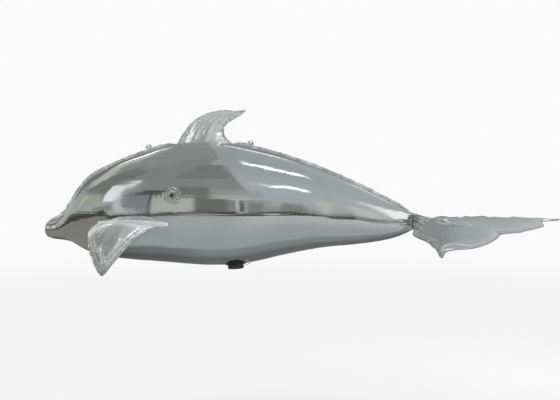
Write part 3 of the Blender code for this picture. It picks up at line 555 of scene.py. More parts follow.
def hull_skin(side, n_long=430, n_round=116):
    t = np.linspace(0, 1, n_long + 1)[1:]
    t = 0.5 * (1.0 - np.cos(math.pi * t)) * 0.35 + 0.65 * t ** 1.12
    x = X_TIP + (X_TAIL - X_TIP) * t / t[-1]
    mid, hh, w = section(x)
    # angle round the section, packed closer near both welds
    c = np.linspace(0, 1, n_round + 1)
    c = c - 0.10 * np.sin(2 * math.pi * c) / (2 * math.pi) * 6.0 * 0.9
    f0 = np.arcsin(np.minimum(0.9, HALF_GAP / w))[:, None]
    f = f0 + (math.pi - 2 * f0) * c[None, :]
    p = np.stack([
        np.repeat(x[:, None], n_round + 1, 1),
        side * w[:, None] * np.sin(f),
        mid[:, None] + hh[:, None] * np.cos(f),
    ], -1)
    n = grid_normals(p)
    n *= np.sign((n[..., 1] * side + 1e-9).mean())
    flip = np.sign(np.einsum("ijk,ijk->ij", n, p - np.stack([p[..., 0], 0 * f, mid[:, None] + 0 * f], -1)).mean())
    n *= flip
    arc = lengths(p, 1)
    run = lengths(p, 0)[:, :1] * 0 + np.cumsum(np.concatenate([[0], np.hypot(np.diff(x), np.diff(mid + hh))]))[:, None]
    run_b = np.cumsum(np.concatenate([[0], np.hypot(np.diff(x), np.diff(mid - hh))]))[:, None]
    from_top = arc
    from_belly = arc[:, -1:] - arc
    X = p[..., 0]
    # the film dips into both welds
    d = -0.0030 * np.exp(-(from_top / 0.0065) ** 2) - 0.0026 * np.exp(-(from_belly / 0.0055) ** 2)
    soft = step(-0.975, -0.90, X) * (1 - 0.2 * step(0.70, 0.86, X))
    size = np.minimum(1.0, w[:, None] / 0.16)
    # small puckers along the top weld, larger ones at a few places, and the belly
    d += size * creases(11, run, from_top, 0.034, 0.045, 0.0011)
    d += size * creases(12, run, from_top, 0.110, 0.105, 0.0016, 0.42)
    d += size * creases(13, run_b, from_belly, 0.040, 0.040, 0.0008)
    for x0, reach, deep, wide, lean in (
        (-0.672, 0.085, 0.0050, 0.0075, 0.35), (-0.640, 0.060, 0.0030, 0.006, -0.30),
        (0.195, 0.070, 0.0042, 0.0065, -0.40), (0.214, 0.055, 0.0030, 0.0055, 0.45),
        (0.345, 0.080, 0.0042, 0.0070, -0.35), (0.366, 0.060, 0.0030, 0.0060, 0.40),
        (-0.205, 0.080, 0.0036, 0.0070, -0.45), (-0.150, 0.070, 0.0034, 0.0060, 0.35),
        (-0.330, 0.055, 0.0030, 0.0060, 0.30), (0.520, 0.050, 0.0022, 0.0050, 0.20),
        (0.640, 0.050, 0.0024, 0.0050, -0.25), (0.030, 0.050, 0.0020, 0.0055, 0.30),
    ):
        fade = np.clip(1 - from_top / reach, 0, 1)
        d -= deep * fade ** 1.5 * np.exp(-((X - x0 - lean * from_top) / (wide * (0.3 + 0.7 * fade))) ** 2)
    # one short crease above the belly
    zc = p[..., 2]
    d -= 0.0016 * np.exp(-((X - 0.195 - 0.02 * (zc + 0.2)) / 0.0035) ** 2) * step(-0.245, -0.215, zc) * (1 - step(-0.19, -0.165, zc))
    # slow unevenness of a film that is not drum tight
    a, b = wave2(21), wave2(22)
    d += soft * (0.0016 * a(X * 5.0 + 9, f * 1.6 + 3) + 0.0006 * b(X * 13.0 + 5, f * 3.2 + 7))
    # longitudinal pleats where the tail is gathered
    pl = step(0.74, 0.86, X)
    d += pl * (0.0008 * np.cos(11 * f + 3 * wave1(31)(X * 12)) + 0.0004 * np.cos(23 * f + 1.0)) * np.minimum(1, w[:, None] / 0.03) * np.sin(f) ** 0.5
    if side < 0:
        for cx, cz, r0, r1 in ((PLUG_X, PLUG_Z, 0.044, 0.085), (VALVE_X, float(film_bottom(VALVE_X, VALVE_Y)), 0.052, 0.085)):
            near = np.sqrt((X - cx) ** 2 + (p[..., 2] - cz) ** 2 + (0.0 if cz > 0 else (p[..., 1] - VALVE_Y) ** 2))
            d = d * step(r0, r1, near)
            turn = np.arctan2(p[..., 2] - cz, X - cx) if cz > 0 else np.arctan2(p[..., 1] - VALVE_Y, X - cx)
            ring = np.exp(-((near - (r0 + 0.014)) / 0.012) ** 2)
            d = d - 0.0007 * ring * (0.5 + 0.5 * np.cos(13 * turn + 2.0 * np.sin(2 * turn)))
            if cz > 0:
                inner = np.exp(-((near - 0.030) / 0.013) ** 2)
                d = d - 0.0015 * inner * (0.5 + 0.5 * np.cos(9 * turn + 2.6 * np.sin(2 * turn + 1.0)))
    p = p + n * d[..., None]
    p[:, 0, 1] = side * HALF_GAP
    p[:, -1, 1] = side * HALF_GAP
    p[..., 1] = side * np.maximum(side * p[..., 1], HALF_GAP)
    # inner surface, coarser, 10 mm in
    kr, kc = 10, 4
    ri = list(range(0, n_long, kr))
    if ri[-1] != n_long - 1:
        ri.append(n_long - 1)
    ci = list(range(0, n_round + 1, kc))
    inn = []
    for i in ri:
        cap = 1.0
        wi, hi = max(w[i] - 0.010, 0.35 * w[i]), max(hh[i] - 0.010, 0.35 * hh[i])
        row = []
        for j in ci:
            y = side * wi * math.sin(f[i, j])
            z = mid[i] + hi * math.cos(f[i, j])
            if j in (0, n_round):
                y = side * HALF_GAP
            row.append((x[i], y, z))
        inn.append(row)
    inn = np.array(inn)
    rows, cols = p.shape[:2]
    verts = [p.reshape(-1, 3), inn.reshape(-1, 3)]
    off = rows * cols
    nr, nc = inn.shape[:2]
    nose = off + nr * nc
    verts.append(np.array([[X_TIP, side * HALF_GAP, float(section(X_TIP)[0])]]))
    verts = np.concatenate(verts)
    faces = []
    for i in range(rows - 1):
        a0 = i * cols
        for j in range(cols - 1):
            a = a0 + j
            faces.append((a, a + 1, a + cols + 1, a + cols))
    for i in range(nr - 1):
        for j in range(nc - 1):
            a = off + i * nc + j
            faces.append((a, a + nc, a + nc + 1, a + 1))
    # nose: outer fan, with the inner surface closed on itself
    for j in range(cols - 1):
        faces.append((nose, j + 1, j))

    def zip_up(outer_ids, inner_ids, at, rev):
        """Joins a fine edge to a coarse one; at[k] is where inner k meets outer."""
        for k in range(len(inner_ids) - 1):
            lo, hi = at[k], at[k + 1]
            m = (lo + hi) // 2
            for q in range(lo, hi):
                src = inner_ids[k] if q < m else inner_ids[k + 1]
                tri = (outer_ids[q], outer_ids[q + 1], src)
                faces.append(tri if not rev else tri[::-1])
            tri = (inner_ids[k], outer_ids[m], inner_ids[k + 1])
            faces.append(tri if not rev else tri[::-1])

    zip_up([i * cols for i in range(rows)], [off + k * nc for k in range(nr)], ri, False)
    zip_up([i * cols + cols - 1 for i in range(rows)], [off + k * nc + nc - 1 for k in range(nr)], ri, True)
    zip_up([(rows - 1) * cols + j for j in range(cols)], [off + (nr - 1) * nc + k for k in range(nc)], ci, False)
    # inner end at the nose
    first = [off + k for k in range(nc)]
    faces.append(tuple([nose] + [0] + [first[0]]))
    faces.append(tuple([nose] + [first[-1]] + [cols - 1]))
    for k in range(nc - 1):
        faces.append((nose, first[k], first[k + 1]))
    return verts, faces


def solid_faces(verts, faces):
    """Turns faces so that neighbours agree, then closes on the outward side."""
    import bmesh
    bm = bmesh.new()
    vs = [bm.verts.new(v) for v in verts]
    for f in faces:
        try:
            bm.faces.new([vs[k] for k in f])
        except ValueError:
            pass
    bmesh.ops.recalc_face_normals(bm, faces=bm.faces)
    bm.verts.index_update()
    out = [tuple(v.index for v in f.verts) for f in bm.faces]
    pts = np.array([v.co[:] for v in bm.verts])
    bm.free()
    return pts, out


for name, side in (("left", -1.0), ("right", 1.0)):
    v, f = solid_faces(*hull_skin(side))
    ob = build(name + "_hull_film", v, f, FILM, 50)
    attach(ob, "envelope")
    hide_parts(name + "_side_panel")


# ------------------------------------------------------- weld along the back
def back_flange(name, x0, x1, seed):
    n = int((x1 - x0) / 0.0022)
    x = np.linspace(x0, x1, n)
    z0 = film_top(x, 0.0) - 0.004
    slope = np.gradient(z0, x)
    ln = np.hypot(1.0, slope)
    nx, nz = -slope / ln, 1.0 / ln
    run = np.cumsum(np.concatenate([[0], np.hypot(np.diff(x), np.diff(z0))]))
    ends = step(0.0, 0.016, run) * step(0.0, 0.016, run[-1] - run)
    h = flange_height(x)
    h = (h + 0.0016 * wave1(seed)(run / 0.021) + 0.0012 * wave1(seed + 1)(run / 0.009)) * (0.35 + 0.65 * ends) + 0.004
    side = 0.0042 * wave1(seed + 2)(run / 0.020) + 0.0022 * wave1(seed + 3)(run / 0.0085)
    lean = 0.0020 * wave1(seed + 4)(run / 0.12)
    m = 16
    k = np.linspace(0, 1, m + 1)[None, :]
    hh = h[:, None] * k
    yy = (side[:, None] * k ** 1.3 + lean[:, None] * k) * step(0.15, 0.6, k)
    # the weld line stands proud as a bead, and the free edge curls a little
    bead = 0.0011 * np.exp(-((k - 0.42) / 0.10) ** 2) + 0.0006 * np.exp(-((k - 0.86) / 0.08) ** 2)
    px = x[:, None] + nx[:, None] * hh
    pz = z0[:, None] + nz[:, None] * hh
    t = 0.00055 + 0.0002 * (1 - k) + bead
    front = np.stack([px, yy - t, pz], -1)
    back = np.stack([px, yy + t, pz], -1)
    v, f = between(front, back)
    ob = build(name, v, f, WELD, 60)
    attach(ob, "envelope")
    return ob


back_flange("back_weld_flange_front", X_TIP + 0.004, FLANGE_ENDS[1] + 0.012, 41)
back_flange("back_weld_flange_rear", FLANGE_ENDS[2] - 0.006, X_TAIL - 0.002, 51)


# --------------------------------------------------------------------- fins
def through(points):
    n = len(points) - 1
    ts = [i / n for i in range(n + 1)]
    fs = [rule(ts, [p[k] for p in points]) for k in range(len(points[0]))]
    return lambda t: [f(t) for f in fs]


def pillow_u(c, width):
    """Share of the way across the inflated part, 0 or 1 on the flanges."""
    edge = np.minimum(0.42, FIN_FLANGE / np.maximum(width, 1e-6))
    return np.clip((c - edge) / (1.0 - 2.0 * edge), 0.0, 1.0), edge


def chord(width, n):
    """Fine steps across a fin: flange, inflated part, flange."""
    edge = min(0.42, FIN_FLANGE / max(width, 1e-6))
    fl = np.linspace(0, 1, 6)[:-1] * edge
    m = np.linspace(0, 1, n + 1)
    m = 0.5 * m + 0.5 * 0.5 * (1 - np.cos(math.pi * m))
    mid = edge + (1 - 2 * edge) * m
    return np.concatenate([fl, mid, 1 - fl[::-1]])


def edge_shape(u):
    return np.clip(np.sin(math.pi * u), 0, 1) ** 0.62


def dorsal_skin(side, n_up=110, n_ch=84):
    at = through([(a[0], a[1], b[0], b[1]) for a, b in DORSAL])
    s = np.linspace(0, 1, n_up + 1)
    s = 0.6 * s + 0.4 * (1 - (1 - s) ** 1.6)
    xl, zl, xt, zt = at(s)
    width = np.hypot(xt - xl, zt - zl)
    C = np.array([chord(wd, n_ch) for wd in width])
    S = np.repeat(s[:, None], C.shape[1], 1)
    W = width[:, None]
    x = xl[:, None] + (xt - xl)[:, None] * C
    z = zl[:, None] + (zt - zl)[:, None] * C
    u, edge = pillow_u(C, W)
    half = DORSAL_HALF * (1.0 - S) ** 0.75 * step(1.0, 0.86, S)
    y = half * edge_shape(u)
    run_l = np.cumsum(np.concatenate([[0], np.hypot(np.diff(xl), np.diff(zl))]))[:, None]
    run_t = np.cumsum(np.concatenate([[0], np.hypot(np.diff(xt), np.diff(zt))]))[:, None]
    dl, dt = np.clip((C - edge), 0, None) * W, np.clip((1 - edge - C), 0, None) * W
    inside = step(0.0, 0.05, u) * step(0.0, 0.05, 1 - u)
    puck = creases(61 + int(side), run_l, dl, 0.024, 0.045, 0.0042) + creases(63 + int(side), run_t, dt, 0.020, 0.040, 0.0042)
    # folds that run from the base towards the tip, beside the leading edge
    fold = 0.0026 * np.sin(2 * math.pi * (5.2 * u ** 0.85 + 0.35 * wave1(65)(S * 3)) + 0.8 + side * 0.4) * step(0.06, 0.40, S) * (1 - 0.45 * S)
    fold = fold - 0.0040 * np.exp(-((u - 0.30 - 0.10 * S) / 0.030) ** 2) * step(0.02, 0.15, S) * (1 - step(0.55, 0.80, S))
    y = y + inside * (puck + fold * np.sin(math.pi * u) ** 0.5)
    y = np.maximum(y, 0.0)
    # a bead along each weld
    rim = np.minimum(C, 1 - C) / np.maximum(edge, 1e-6)
    y = y + 0.0012 * np.exp(-((rim - 0.62) / 0.16) ** 2)
    wob = 0.0030 * wave1(66)(run_l / 0.022) * np.exp(-dl / 0.012) * step(0, 0.3, S)
    wob = wob + 0.0030 * wave1(67)(run_t / 0.020) * np.exp(-dt / 0.012) * step(0, 0.3, S)
    wob = wob + 0.006 * step(0.45, 1.0, S) * np.sin(S * 5.0)
    base_z = film_top(x, 0 * x)
    keep = step(0.0, 0.10, S)
    foot = np.minimum(y + SHEET + HALF_GAP, 0.9 * section(x)[2])
    zf = z * keep + (film_top(x, foot) - 0.0012 + 0.55 * (z - zl[0])) * (1 - keep)
    zb = z * keep + (base_z - 0.004 + 0.55 * (z - zl[0])) * (1 - keep)
    zf = np.where(S < 1e-9, film_top(x, foot) - 0.0022, np.maximum(zf, film_top(x, foot) - 0.0022))
    front = np.stack([x, side * (HALF_GAP + SHEET * 0.6 + y) + wob, zf], -1)
    back = np.stack([x, side * HALF_GAP + wob, np.maximum(zb, base_z - 0.006)], -1)
    return between(front, back)


for name, side in (("left", -1.0), ("right", 1.0)):
    v, f = dorsal_skin(side)
    ob = build("dorsal_fin_%s_skin" % name, v, f, FIN_TOP, 55)
    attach(ob, "envelope")
    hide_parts("dorsal_fin_%s_film" % name)


def pec_frame():
    """The hinge line of the left fin: its middle, and the way out of the body."""
    xa, xb = PECTORAL[0][0], PECTORAL[0][1]
    ya, yb = float(film_y(xa, PEC_ROOT_Z)) + 0.008, float(film_y(xb, PEC_ROOT_Z)) + 0.008
    mid = Vector((0.5 * (xa + xb), -0.5 * (ya + yb), PEC_ROOT_Z))
    along = Vector((xb - xa, -(yb - ya), 0)).normalized()
    out = Vector((along.y, -along.x, 0))
    return mid, out if out.y < 0 else -out


def pectoral_skin(side, film, n_out=120, n_ch=84):
    at = through(PECTORAL)
    s = np.linspace(0, 1, n_out + 1)
    s = 0.7 * s + 0.3 * (1 - (1 - s) ** 1.6)
    xl, xt, reach, drop = at(s)
    ds = 0.01
    a, b = at(np.maximum(0, s - ds)), at(np.minimum(1, s + ds))
    ty, tz = -(b[2] - a[2]), -(b[3] - a[3])
    ln = np.hypot(ty, tz)
    ty, tz = (ty / ln)[:, None], (tz / ln)[:, None]
    width = np.abs(xt - xl)
    C = np.array([chord(wd, n_ch) for wd in width])
    W = width[:, None]
    S = np.repeat(s[:, None], C.shape[1], 1)
    x = xl[:, None] + (xt - xl)[:, None] * C
    root = -(film_y(x, PEC_ROOT_Z) + PEC_ROOT_GAP)
    middle = -(float(film_y(0.5 * (PECTORAL[0][0] + PECTORAL[0][1]), PEC_ROOT_Z)) + PEC_ROOT_GAP)
    y = middle - reach[:, None] + (root - middle) * (1.0 - S) ** 1.5
    arch = 0.012 * np.sin(math.pi * C) * np.sin(math.pi * np.minimum(1.0, S * 1.2))
    n = np.stack([0 * S, tz + 0 * S, -ty + 0 * S], -1)
    p = np.stack([x, y, PEC_ROOT_Z - drop[:, None] + 0 * S], -1) + n * arch[..., None]
    u, edge = pillow_u(C, W)
    half = PEC_HALF * step(0.0, 0.28, S) ** 0.75 * (1.0 - S) ** 0.45 * step(1.0, 0.90, S)
    t = half * edge_shape(u)
    run_l = np.cumsum(np.concatenate([[0], np.linalg.norm(np.diff(p[:, 0], axis=0), axis=1)]))[:, None]
    run_t = np.cumsum(np.concatenate([[0], np.linalg.norm(np.diff(p[:, -1], axis=0), axis=1)]))[:, None]
    dl, dt = np.clip((C - edge), 0, None) * W, np.clip((1 - edge - C), 0, None) * W
    inside = step(0.0, 0.05, u) * step(0.0, 0.05, 1 - u)
    k = 70 + int(film) * 2 + int(side)
    puck = creases(k, run_l, dl, 0.026, 0.052, 0.0050) + creases(k + 9, run_t, dt, 0.019, 0.044, 0.0056)
    puck = puck - 0.0034 * np.exp(-((dl - 0.017) / 0.0042) ** 2) - 0.0030 * np.exp(-((dt - 0.015) / 0.0040) ** 2)
    # folds gathered towards the tip
    fold = 0.0034 * np.sin(2 * math.pi * (3.0 * u + 0.35 * wave1(k + 20)(S * 3)) + 1.2) * step(0.35, 0.80, S)
    t = np.maximum(t + inside * (puck + fold * np.sin(math.pi * u) ** 0.5), 0.0)
    rim = np.minimum(C, 1 - C) / np.maximum(edge, 1e-6)
    t = t + 0.0014 * np.exp(-((rim - 0.60) / 0.16) ** 2) * step(0.0, 0.08, S)
    wob = 0.0032 * wave1(91)(run_l / 0.024) * np.exp(-dl / 0.014) * step(0.0, 0.2, S)
    wob = wob + 0.0034 * wave1(92)(run_t / 0.019) * np.exp(-dt / 0.014) * step(0.0, 0.2, S)
    mid = p + n * wob[..., None]
    front = mid + n * (film * (HALF_GAP + SHEET * 0.6 + t))[..., None]
    back = mid + n * film * HALF_GAP
    # the root edge lies on the weld strip
    pull = (1 - step(0.0, 0.05, S))[..., None] * np.array([0, 1.0, 0]) * 0.0038
    front, back = front + pull, back + pull
    if side > 0:
        front = front * np.array([1, -1, 1])
        back = back * np.array([1, -1, 1])
    return between(front, back)


HINGE, OUT = pec_frame()
for name, side in (("left", -1.0), ("right", 1.0)):
    for part, film in (("outer", 1.0), ("inner", -1.0)):
        v, f = pectoral_skin(side, film)
        ob = build("%s_pectoral_%s_skin" % (name, part), v, f, FIN_SIDE, 55)
        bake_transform(ob)
        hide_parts("%s_pectoral_%s_film" % (name, part))


def root_weld(side):
    x0, x1 = PECTORAL[0][0] - 0.012, PECTORAL[0][1] + 0.014
    u = np.linspace(0, 1, 141)[:, None]
    k = np.linspace(-1, 1, 13)[None, :]
    x = x0 + (x1 - x0) * u + 0 * k
    spread = np.sin(math.pi * (0.03 + 0.94 * u)) ** 0.4
    z = PEC_ROOT_Z + 0.017 * k * spread * (1 + 0.05 * wave1(101)(u * 18))
    y = film_y(x, z)
    lift = 0.0024 + 0.0009 * np.abs(k) ** 3 * wave1(102)(u * 15 + 4 * np.sign(k)) + 0.0004 * np.sin(u * 150)
    front = np.stack([x, side * (y + lift), z], -1)
    back = np.stack([x, side * (y - 0.001), z], -1)
    return between(front, back)


for name, side in (("left", -1.0), ("right", 1.0)):
    v, f = root_weld(side)
    ob = build(name + "_fin_root_weld", v, f, ROOT, 60)
    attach(ob, "envelope")
    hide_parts(name + "_fin_root_strip")


# -------------------------------------------------------------------- fluke
def fluke_frame():
    aft = Vector((
        math.cos(FLUKE_DROOP) * math.cos(FLUKE_YAW),
        math.cos(FLUKE_DROOP) * math.sin(FLUKE_YAW),
        math.sin(FLUKE_DROOP),
    ))
    side = Vector((0, 0, 1)).cross(aft).normalized()
    up = aft.cross(side)
    span = -side * math.cos(FLUKE_ROLL) - up * math.sin(FLUKE_ROLL)
    up = span.cross(aft).normalized()
    return np.array(aft), np.array(span), np.array(up if up.z > 0 else -up)


AFT, SPAN, UP = fluke_frame()
P0 = np.array([NECK_X, 0.0, NECK_Z])


def fluke_skin(film, n_sp=210, n_ch=76):
    vs = [f[0] for f in FLUKE]
    lead, trail = rule(vs, [f[1] for f in FLUKE]), rule(vs, [f[2] for f in FLUKE])
    tip = vs[-1]
    q = np.linspace(0, 1, n_sp + 1)
    v = -tip * np.cos(math.pi * q) * 0.5 + (2.0 * q - 1.0) * tip * 0.5
    r = np.abs(v)
    ul, ut = lead(r), trail(r)
    width = ut - ul
    C = np.array([chord(wd, n_ch) for wd in width])
    V = np.repeat(v[:, None], C.shape[1], 1)
    W = width[:, None]
    U = ul[:, None] + W * C
    u, edge = pillow_u(C, W)
    half = (FLUKE_UPPER if film > 0 else FLUKE_LOWER) * (1.0 - np.clip(np.abs(V) / tip, 0, 1) ** 2) ** 0.8
    t = half * edge_shape(u)
    run_l = np.cumsum(np.concatenate([[0], np.hypot(np.diff(v), np.diff(ul))]))[:, None]
    run_t = np.cumsum(np.concatenate([[0], np.hypot(np.diff(v), np.diff(ut))]))[:, None]
    dl, dt = np.clip((C - edge), 0, None) * W, np.clip((1 - edge - C), 0, None) * W
    inside = step(0.0, 0.05, u) * step(0.0, 0.05, 1 - u)
    k = 120 + int(film)
    puck = creases(k, run_l, dl, 0.042, 0.070, 0.0020) + creases(k + 5, run_t, dt, 0.060, 0.085, 0.0018)
    # folds that fan out from the gathered neck
    ang = np.arctan2(V, U - 0.02)
    rad = np.hypot(V, U - 0.02)
    fan = (0.0042 * np.sin(13 * ang + 2.0 * wave1(131)(rad * 9)) + 0.0016 * np.sin(31 * ang + 3.0)) * step(0.07, 0.12, rad) * (1 - step(0.16, 0.46, rad))
    fan = fan + 0.0022 * np.sin(8 * ang + 1.0 + wave1(132)(rad * 6)) * step(0.15, 0.30, rad) * (1 - step(0.38, 0.56, rad))
    t = np.maximum(t + inside * (puck + fan), 0.0)
    if film > 0:
        t = t - np.minimum(0.0030, 0.7 * t) * np.exp(-((U - ul[:, None] - 0.034) / 0.0045) ** 2) * step(0.02, -0.06, V)
        stand = np.maximum(step(0.0, 0.030, dl), np.exp(-(V / 0.05) ** 2) * step(0.0, 0.012, dl))
        t = t + FLUKE_RIDGE * np.exp(-(V / 0.075) ** 2) * (1 - step(0.16, 0.46, U)) * stand
    sag = 0.004 * wave2(133)(U * 9 + 3, V * 7 + 20)
    wob = 0.0012 * wave1(134)(run_l / 0.045) * np.exp(-dl / 0.016) + 0.0012 * wave1(135)(run_t / 0.060) * np.exp(-dt / 0.018)
    # the weld of the far lobe curls up along its leading edge
    across = (U - ul[:, None])
    curl = 0.019 * step(0.02, -0.08, V) * (1 - 0.6 * step(-0.26, -0.56, V)) * np.clip(1 - across / 0.030, 0, 1) ** 1.3
    curl = curl * (1 + 0.25 * wave1(136)(run_l / 0.030))
    mid = P0 + AFT * U[..., None] + SPAN * V[..., None] + UP * (sag + wob + curl)[..., None]
    front = mid + UP * (film * (HALF_GAP + SHEET * 0.6 + t))[..., None]
    back = mid + UP * film * HALF_GAP
    return between(front, back)


for part, film in (("upper", 1.0), ("lower", -1.0)):
    v, f = fluke_skin(film)
    ob = build("tail_fluke_%s_skin" % part, v, f, FIN_TAIL, 55)
    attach(ob, "tail_fluke")
    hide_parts("tail_fluke_%s_film" % part)


def neck_gather(n=64, seg=150):
    """Gathered film: a standing edge at the body that turns into a flat one."""
    s = np.linspace(0, 1, n + 1)[:, None]
    a = (2 * math.pi * np.arange(seg) / seg)[None, :]
    high = 0.043 + (0.033 - 0.043) * step(0.0, 0.6, s) - 0.020 * step(0.60, 1.0, s)
    deep = 0.043 + (0.009 - 0.043) * step(0.0, 0.9, s)
    high = np.where(np.sin(a) > 0, high, deep)
    wide = 0.009 + (0.058 - 0.009) * step(0.05, 1.0, s)
    w1, w2 = wave1(141), wave1(142)
    fold = 1.0 + 0.045 * np.cos(9 * a + 1.5 * w1(s * 4)) * np.sin(math.pi * np.clip(s * 1.05, 0, 1)) ** 0.6
    fold = fold + 0.008 * np.cos(21 * a + 2.5 * w2(s * 5)) * np.sin(math.pi * s) ** 0.4
    fold = fold + 0.008 * wave2(143)(s * 5, 5 + 6 * np.abs(np.sin(a)))
    u = -0.014 + (NECK_LEN + 0.052 + 0.014) * s + 0 * a
    p = (P0 + AFT * u[..., None] + SPAN * (wide * np.cos(a) * fold)[..., None]
         + UP * (high * np.sin(a) * fold)[..., None])
    verts = p.reshape(-1, 3)
    faces = []
    for i in range(n):
        for k in range(seg):
            k2 = (k + 1) % seg
            faces.append((i * seg + k, i * seg + k2, (i + 1) * seg + k2, (i + 1) * seg + k))
    faces.append(tuple(reversed(range(seg))))
    faces.append(tuple(range(n * seg, (n + 1) * seg)))
    return verts, faces


v, f = neck_gather()
neck = build("tail_neck_gather", v, f, FILM, 60)
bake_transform(neck)
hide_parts("tail_neck")


# ------------------------------------------------------------------- valves
def local_frame(point, normal, along):
    """A frame with +Z along normal and +X as near to along as it can be."""
    z = Vector(normal).normalized()
    y = z.cross(Vector(along)).normalized()
    x = y.cross(z)
    m = np.array(Matrix((x, y, z)).transposed())
    return m, np.array(point, float)


def placed(frame_, p):
    m, o = frame_
    return p @ m.T + o


def outside(p):
    mid, hh, w = section(p[..., 0])
    return (p[..., 1] / w) ** 2 + ((p[..., 2] - mid) / hh) ** 2


def surface_normal(x, y, z):
    e = 1e-4
    g = [outside(np.array([x + e, y, z])) - outside(np.array([x - e, y, z])),
         outside(np.array([x, y + e, z])) - outside(np.array([x, y - e, z])),
         outside(np.array([x, y, z + e])) - outside(np.array([x, y, z - e]))]
    return [float(v) for v in g]


def drop_to_film(frame_, a, b):
    """How far the film lies below the tangent plane at local (a, b)."""
    lo, hi = np.full(a.shape, -0.05), np.full(a.shape, 0.03)
    for _ in range(32):
        t = 0.5 * (lo + hi)
        out = outside(placed(frame_, np.stack([a, b, t], -1))) > 1.0
        hi = np.where(out, t, hi)
        lo = np.where(out, lo, t)
    return 0.5 * (lo + hi)


def soften(profile, r=0.0006, n=3):
    """Rounds the corners of a turned profile; points on the axis stay."""
    out = []
    for k in range(len(profile)):
        p = np.array(profile[k], float)
        a, b = profile[k - 1], profile[(k + 1) % len(profile)]
        if p[0] < 1e-9:
            out.append(tuple(p))
            continue
        u, v = np.array(a) - p, np.array(b) - p
        lu, lv = np.linalg.norm(u), np.linalg.norm(v)
        q = min(r, 0.4 * lu, 0.4 * lv)
        s0, s1 = p + u / lu * q, p + v / lv * q
        for i in range(n + 1):
            t = i / n
            out.append(tuple((1 - t) ** 2 * s0 + 2 * t * (1 - t) * p + t * t * s1))
    return out


def turned(profile, seg, frame_, shape=None, lie=None):
    """A closed turned solid. shape(r, z, angle) gives a new radius and height."""
    pr = np.array(profile, float)
    closed = pr[0, 0] > 1e-9
    a = 2 * math.pi * np.arange(seg) / seg
    r = np.repeat(pr[:, :1], seg, 1)
    z = np.repeat(pr[:, 1:], seg, 1)
    A = np.repeat(a[None, :], len(pr), 0)
    if shape:
        r, z = shape(r, z, A)
    x, y = r * np.cos(A), r * np.sin(A)
    if lie:
        z = z + lie(x, y, r)
    pts = placed(frame_, np.stack([x, y, z], -1))
    verts, index = [], {}
    for i in range(len(pr)):
        on_axis = pr[i, 0] < 1e-9
        for k in range(seg):
            if on_axis and k:
                index[i, k] = index[i, 0]
                continue
            index[i, k] = len(verts)
            verts.append(pts[i, k])
    faces = []
    last = len(pr) if closed else len(pr) - 1
    for i in range(last):
        i2 = (i + 1) % len(pr)
        for k in range(seg):
            k2 = (k + 1) % seg
            f = []
            for v in (index[i, k], index[i, k2], index[i2, k2], index[i2, k]):
                if v not in f:
                    f.append(v)
            if len(f) > 2:
                faces.append(tuple(f))
    return np.array(verts), faces


vz = float(film_bottom(VALVE_X, VALVE_Y))
VF = local_frame((VALVE_X, VALVE_Y, vz), surface_normal(VALVE_X, VALVE_Y, vz), (1, 0, 0))


def valve_piece(name, profile, node_name, mat, body="envelope", shape=None, lie=None, seg=120, r=0.0006):
    v, f = turned(soften(profile, r), seg, VF, shape, lie)
    ob = build(name, v, f, mat, 40)
    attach(ob, body)
    if node_name:
        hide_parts(node_name)
    return ob


def drape(x, y, r):
    fall = drop_to_film(VF, x, y)
    return np.where(r < NECK_R + 0.004, 0.0, fall * np.clip((r - NECK_R - 0.004) / 0.004, 0, 1))


def flange_rings(r, z, a):
    top = z > 0.0030
    ring = 0.0003 * np.cos((r - NECK_R) * 2 * math.pi / 0.0032)
    wave = 0.0004 * np.sin(3 * a + 1.0) * np.clip((r - 0.040) / 0.010, 0, 1)
    return r, z + np.where(top & (r > NECK_R + 0.006), ring, 0) + wave


flange_out = [(NECK_R + 0.0042 + 0.0016 * k, 0.0034) for k in range(1, 8)]
valve_piece("belly_valve_ring", [
    (NECK_BORE, -0.014), (NECK_R - 0.001, -0.014), (NECK_R, -0.010), (NECK_R, 0.0006),
    (NECK_R + 0.0042, 0.0006), (NECK_R + 0.0090, 0.0012), (VALVE_FLANGE_R - 0.001, 0.0012),
    (VALVE_FLANGE_R, 0.0020), (VALVE_FLANGE_R - 0.001, 0.0032), *reversed(flange_out),
    (NECK_R + 0.0042, 0.0034), (NECK_R, 0.0036), (NECK_R, 0.0060), (NECK_R + 0.0006, 0.0066), (NECK_R, 0.0072),
    (NECK_R, 0.0092), (NECK_R + 0.0006, 0.0098), (NECK_R, 0.0104), (NECK_R, 0.0150), (NECK_R - 0.0012, 0.0162),
    (NECK_BORE, 0.0162)], "belly_valve_base", BLACK, shape=flange_rings, lie=drape)
valve_piece("belly_valve_plate", [
    (0.0, -0.0040), (0.0050, -0.0040), (0.0050, -0.0005), (0.0200, -0.0005),
    (0.0215, -0.0030), (NECK_BORE - 0.0006, -0.0030), (NECK_BORE - 0.0006, 0.0040),
    (0.0205, 0.0040), (0.0180, 0.0015), (0.0150, 0.0015), (0.0140, 0.0022), (0.0130, 0.0015),
    (0.0100, 0.0015), (0.0090, 0.0022), (0.0080, 0.0015),
    (0.0060, 0.0015), (0.0050, 0.0040), (0.0, 0.0040)], "belly_valve_insert", BLACK, r=0.0004)
valve_piece("belly_valve_leaf", [(0.0, -0.0062), (0.0215, -0.0062), (0.0215, -0.0046), (0.0, -0.0046)],
            "belly_valve_flap", RUBBER,
            shape=lambda r, z, a: (r, z - 0.0006 * (r / 0.0215) ** 2 * (0.5 + 0.5 * np.cos(3 * a))))


def grip(r, z, a):
    """Grip ribs round the skirt of the cap, and a slight dish on top."""
    rib = 0.0007 * np.clip(1.6 * np.cos(36 * a), -1, 1) - 0.0004
    skirt = (r > CAP_R - 0.0004) & (z < 0.0200)
    inside_top = (z > 0.0200) & (r < 0.030)
    return np.where(skirt, r + rib, r), z - np.where(inside_top, 0.0006 * (1 - (r / 0.030) ** 2), 0)


